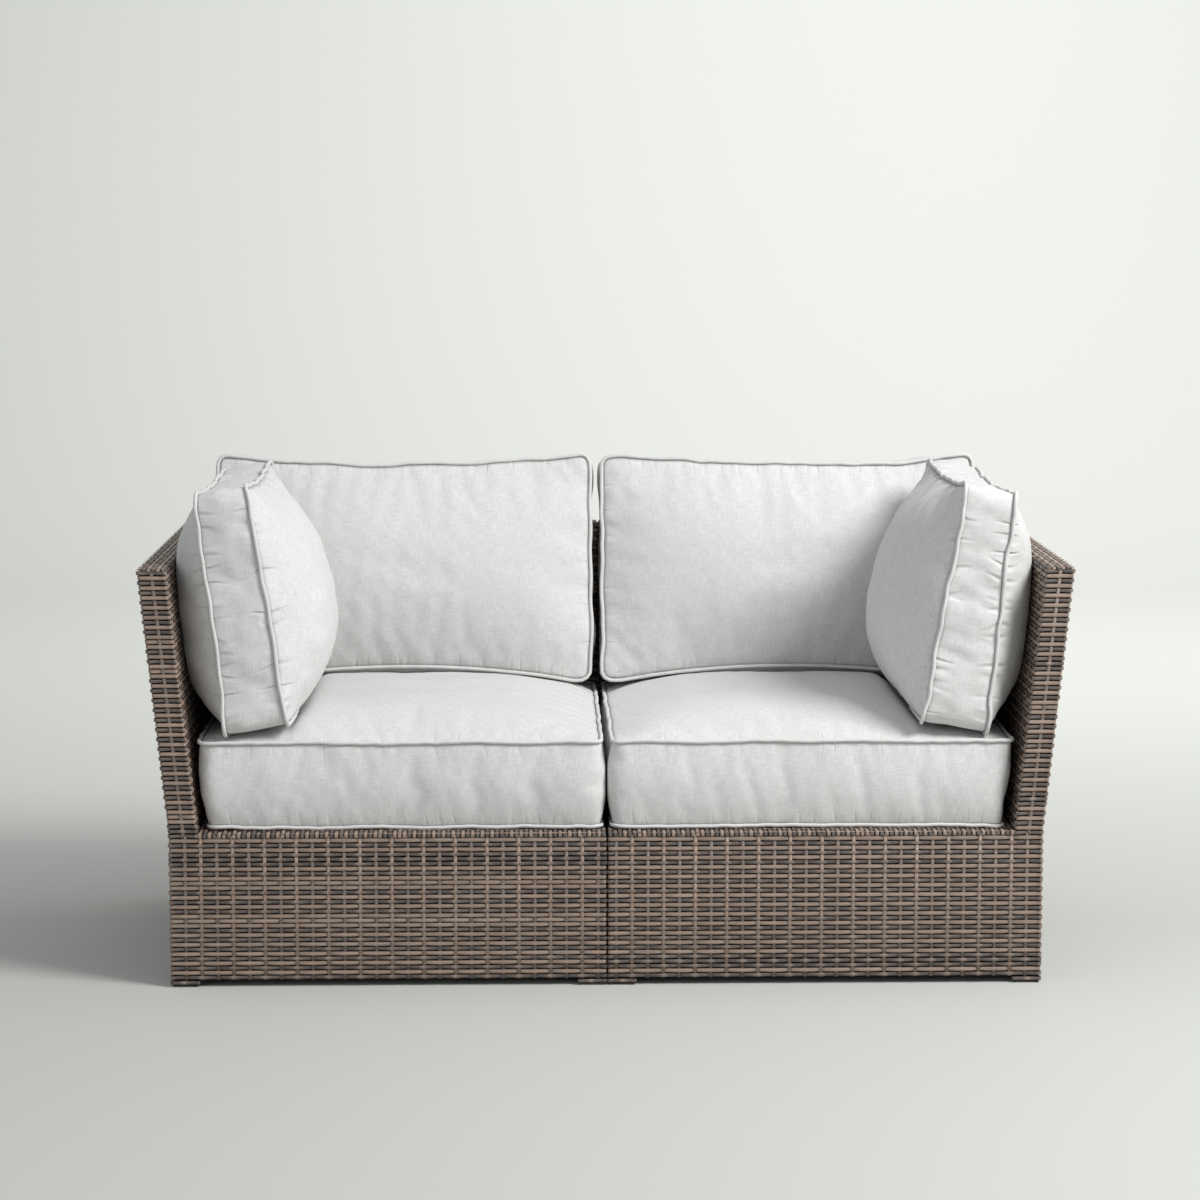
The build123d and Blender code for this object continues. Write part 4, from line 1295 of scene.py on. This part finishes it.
class BuildBaseWicker(bpy.types.Operator):
    """Weaves the four skirts and the wraps of the legs"""

    bl_idname = "loveseat.base_wicker"
    bl_label = "Base wicker"

    def execute(self, context):
        module, wicker = context.scene.loveseat_module, context.scene.loveseat_wicker
        leg = module.leg
        inner, outer = module.half_gap, module.half_gap + module.width
        front, rear = module.front, module.front + module.width
        first_stake = base_first_stake(module, wicker)
        for side, seed in WEAVE_SEEDS.items():
            skin = Skin(module, wicker, square_line(inner, front, outer, rear), np.zeros_like, first_stake)
            low, high = module.skirt, module.deck - module.fold
            # stakes and the painted shade sheet go on behind the deck's fold
            parts = [skin.rows(low, high, seed), skin.stakes(low, high + 0.004), skin.core(low, high + 0.005)]
            for x in (inner, outer - leg):
                for y in (front, rear - leg):
                    wrap = Skin(module, wicker, square_line(x, y, x + leg, y + leg), np.zeros_like, leg)
                    parts.append(wrap.rows(module.glide, module.skirt, seed + 5))
                    parts.append(wrap.core(module.glide, module.skirt))
            wicker_piece(side, "base", parts)
        return {"FINISHED"}


class BuildDeckWicker(bpy.types.Operator):
    """Weaves the deck, its strips running from front to back and turning down over the front edge"""

    bl_idname = "loveseat.deck_wicker"
    bl_label = "Deck wicker"

    def execute(self, context):
        module, wicker = context.scene.loveseat_module, context.scene.loveseat_wicker
        inner, outer = module.half_gap, module.half_gap + module.width - module.panel
        size = module.width - module.panel, outer - inner
        for side, seed in DECK_SEEDS.items():
            wicker_piece(side, "deck", flat_weave(
                wicker, (inner, module.front, module.deck), (0, 1, 0), (1, 0, 0), size,
                round(size[1] / wicker.row_pitch), seed, (module.fold - FOLD_RADIUS, 0.0), parity=1,
            ))
        return {"FINISHED"}


class BuildArmWicker(bpy.types.Operator):
    """Weaves the leaning arms"""

    bl_idname = "loveseat.arm_wicker"
    bl_label = "Arm wicker"

    def execute(self, context):
        module, wicker = context.scene.loveseat_module, context.scene.loveseat_wicker
        inner, outer = module.half_gap + module.width - module.panel, module.half_gap + module.width
        front, rear = module.front, module.front + module.width
        top = module.lean
        line = [[inner, rear - module.panel], [inner, front], [outer, front], [outer, rear], [inner, rear]]
        # a grey stake in the middle of the front face
        first_stake = module.width - module.panel / 2 - wicker.corner * (2 - math.pi / 2) + wicker.stake_pitch

        def leans(plan):
            return np.stack([np.ones(plan.shape[:-1]), np.clip((plan[..., 1] - front) / module.width, 0, 1)], -1)

        for side, seed in WEAVE_SEEDS.items():
            skin = Skin(module, wicker, line, leans, first_stake)
            wicker_piece(side, "arm", [
                *skin.whole(seed + 2, 0),
                *flat_weave(
                    wicker, (inner + top, front, module.arm), (0, 1, 0), (1, 0, 0),
                    (module.width + top, module.panel), RIM_ROWS, seed + 9, (RIM_FOLD, RIM_FOLD), shoulder=RIM_SHOULDER,
                ),
                shade_lid(module, (inner + top, outer + top), (front, rear + top)),
            ])
        return {"FINISHED"}


class BuildBackWicker(bpy.types.Operator):
    """Weaves the leaning backs"""

    bl_idname = "loveseat.back_wicker"
    bl_label = "Back wicker"

    def execute(self, context):
        module, wicker = context.scene.loveseat_module, context.scene.loveseat_wicker
        inner, outer = module.half_gap, module.half_gap + module.width - module.panel
        rear = module.front + module.width
        top = module.lean
        line = [[outer, rear], [inner, rear], [inner, rear - module.panel], [outer, rear - module.panel]]

        def leans(plan):
            return np.stack([np.clip((plan[..., 0] - inner) / (outer - inner), 0, 1), np.ones(plan.shape[:-1])], -1)

        for side, seed in WEAVE_SEEDS.items():
            skin = Skin(module, wicker, line, leans, wicker.stake_pitch / 2)
            wicker_piece(side, "back", [
                # full knuckles on light and dark rows alike close the joint between the two backs
                *skin.whole(seed + 2, int(side == "right"), 1.0),
                *flat_weave(
                    wicker, (inner, rear - module.panel + top, module.arm), (1, 0, 0), (0, 1, 0),
                    (outer + top - inner, module.panel), RIM_ROWS, seed + 13, (RIM_FOLD, 0.0), shoulder=RIM_SHOULDER,
                ),
                shade_lid(module, (inner, outer + top), (rear - module.panel + top, rear + top)),
            ])
        return {"FINISHED"}


class BuildSeatCushions(bpy.types.Operator):
    """Makes the two seat cushions, with dents under the back and side cushions"""

    bl_idname = "loveseat.seat_cushions"
    bl_label = "Seat cushions"

    def execute(self, context):
        scene = context.scene
        module, fabric, sizes = scene.loveseat_module, scene.loveseat_fabric, scene.loveseat_seat
        backs, ends = scene.loveseat_back, scene.loveseat_side
        slope = module.lean / (module.arm - module.deck)
        middle = module.deck + fabric.piping + fabric.rest + sizes.thickness / 2
        outer = module.half_gap + module.width - module.panel + slope * (middle - module.deck) - sizes.arm_gap
        below, flatter, beside = DENT_CLEAR
        dents = (
            Dent(
                axis=1, edge=backs.foot, level=backs.bottom - below, middle=(backs.inner + backs.outer) / 2,
                half=(backs.outer - backs.inner) / 2, arch=backs.arch - flatter,
            ),
            Dent(
                axis=0, edge=ends.foot - ends.thickness - beside, level=ends.bottom - below,
                middle=ends.front + ends.length / 2, half=ends.length / 2, arch=ends.arch,
            ),
        )
        for side, seed in (("right", 101), ("left", 131)):
            Cushion(
                side, "seat", seed,
                origin=(sizes.inner, (sizes.front + sizes.rear) / 2, middle),
                axes=((1, 0, 0), (0, 0, 1), (0, -1, 0)),
                size=(outer - sizes.inner, sizes.thickness, sizes.rear - sizes.front),
                crowns=(UNDER_CROWN, sizes.crown), draw=sizes.draw, corner=sizes.corner,
                planes=[((0, 0, module.deck + fabric.rest), (0, 0, -1)), middle_plane(module)], dents=dents,
                end_slope=slope, square=3.2, creases=0.30,
            ).build()
        return {"FINISHED"}


class BuildBackCushions(bpy.types.Operator):
    """Makes the two back cushions"""

    bl_idname = "loveseat.back_cushions"
    bl_label = "Back cushions"

    def execute(self, context):
        scene = context.scene
        module, fabric, sizes = scene.loveseat_module, scene.loveseat_fabric, scene.loveseat_back
        up = np.array([0, math.sin(sizes.lean), math.cos(sizes.lean)])
        backward = np.array([0, math.cos(sizes.lean), -math.sin(sizes.lean)])
        foot = np.array([sizes.inner, sizes.foot, sizes.bottom])
        origin = foot + up * sizes.height / 2 + backward * sizes.thickness / 2
        for side, seed, shift, lowest in (("right", 201, -sizes.shift, 0.3), ("left", 231, sizes.shift, 0.15)):
            Cushion(
                side, "back_cushion", seed,
                origin=origin + np.array([shift, 0, 0]), axes=((1, 0, 0), backward, up),
                size=(sizes.outer - sizes.inner, sizes.thickness, sizes.height),
                crowns=(sizes.front_crown, sizes.rear_crown), draw=sizes.draw, corner=sizes.corner,
                planes=[panel_planes(module, fabric)[0], underside(origin, up, sizes.height), middle_plane(module)],
                arch=-sizes.arch, lowest=lowest, uneven=(0.0022, 0.002, 0.0025), ruck=0.0011,
            ).build()
        return {"FINISHED"}


class BuildSideCushions(bpy.types.Operator):
    """Makes the two side cushions"""

    bl_idname = "loveseat.side_cushions"
    bl_label = "Side cushions"

    def execute(self, context):
        scene = context.scene
        module, fabric, sizes = scene.loveseat_module, scene.loveseat_fabric, scene.loveseat_side
        up = np.array([math.sin(sizes.lean), 0, math.cos(sizes.lean)])
        inward = np.array([-math.cos(sizes.lean), 0, math.sin(sizes.lean)])
        foot = np.array([sizes.foot, sizes.front, sizes.bottom])
        origin = foot + up * sizes.height / 2 + inward * sizes.thickness / 2
        for side, seed in (("right", 301), ("left", 331)):
            Cushion(
                side, "side_cushion", seed, origin=origin, axes=((0, 1, 0), inward, up),
                size=(sizes.length, sizes.thickness, sizes.height),
                crowns=(sizes.outer_crown, sizes.inner_crown), draw=sizes.draw, corner=sizes.corner,
                planes=[panel_planes(module, fabric)[1], underside(origin, up, sizes.height)],
                splay=sizes.splay, arch=sizes.arch, stand=sizes.stand, plump=sizes.plump,
                uneven=(0.003, 0.003, 0.0012), ruck=0.0017, creases=1.0, box_swell=0.003,
            ).build()
        return {"FINISHED"}


class BuildStage(bpy.types.Operator):
    """Sets the camera, the lights and a pale seamless backdrop"""

    bl_idname = "loveseat.stage"
    bl_label = "Stage"

    def execute(self, context):
        scene = context.scene
        stage = scene.loveseat_stage
        set_camera(scene, stage)
        lay_backdrop(scene, stage)
        world = bpy.data.worlds.new("Studio")
        world.use_nodes = True
        sky = world.node_tree.nodes["Background"].inputs
        sky["Color"].default_value = full(stage.sky)
        sky["Strength"].default_value = stage.sky_strength
        scene.world = world
        for name, (spot, aim, size) in LIGHTS.items():
            light = bpy.data.lights.new(name, "AREA")
            light.shape = "DISK"
            light.size = size
            light.energy = getattr(stage, name.lower())
            lamp = bpy.data.objects.new(name, light)
            lamp.location = spot
            lamp.rotation_euler = (Vector(aim) - Vector(spot)).to_track_quat("-Z", "Y").to_euler()
            scene.collection.objects.link(lamp)
        scene.view_settings.view_transform = "Standard"
        return {"FINISHED"}


class LoveseatPanel(bpy.types.Panel):
    """Lists the sizes, colours and steps"""

    bl_idname = "VIEW3D_PT_loveseat"
    bl_label = "Loveseat"
    bl_space_type = "VIEW_3D"
    bl_region_type = "UI"
    bl_category = "Loveseat"

    def draw(self, context):
        for operator in OPERATORS:
            self.layout.operator(operator.bl_idname)
        for name, group in GROUPS.items():
            box = self.layout.box()
            settings = getattr(context.scene, name)
            for key in group.__annotations__:
                box.prop(settings, key)


OPERATORS = (
    BuildMaterials, BuildBaseWicker, BuildDeckWicker, BuildArmWicker, BuildBackWicker,
    BuildSeatCushions, BuildBackCushions, BuildSideCushions, BuildStage,
)


def register():
    for kind in (*GROUPS.values(), *OPERATORS, LoveseatPanel):
        bpy.utils.register_class(kind)
    for name, group in GROUPS.items():
        setattr(bpy.types.Scene, name, PointerProperty(type=group))


def unregister():
    for name in GROUPS:
        delattr(bpy.types.Scene, name)
    for kind in reversed((*GROUPS.values(), *OPERATORS, LoveseatPanel)):
        bpy.utils.unregister_class(kind)


def main():
    register()
    bpy.ops.loveseat.materials()
    bpy.ops.loveseat.base_wicker()
    bpy.ops.loveseat.deck_wicker()
    bpy.ops.loveseat.arm_wicker()
    bpy.ops.loveseat.back_wicker()
    bpy.ops.loveseat.seat_cushions()
    bpy.ops.loveseat.back_cushions()
    bpy.ops.loveseat.side_cushions()
    bpy.ops.loveseat.stage()


if __name__ == "__main__":
    main()
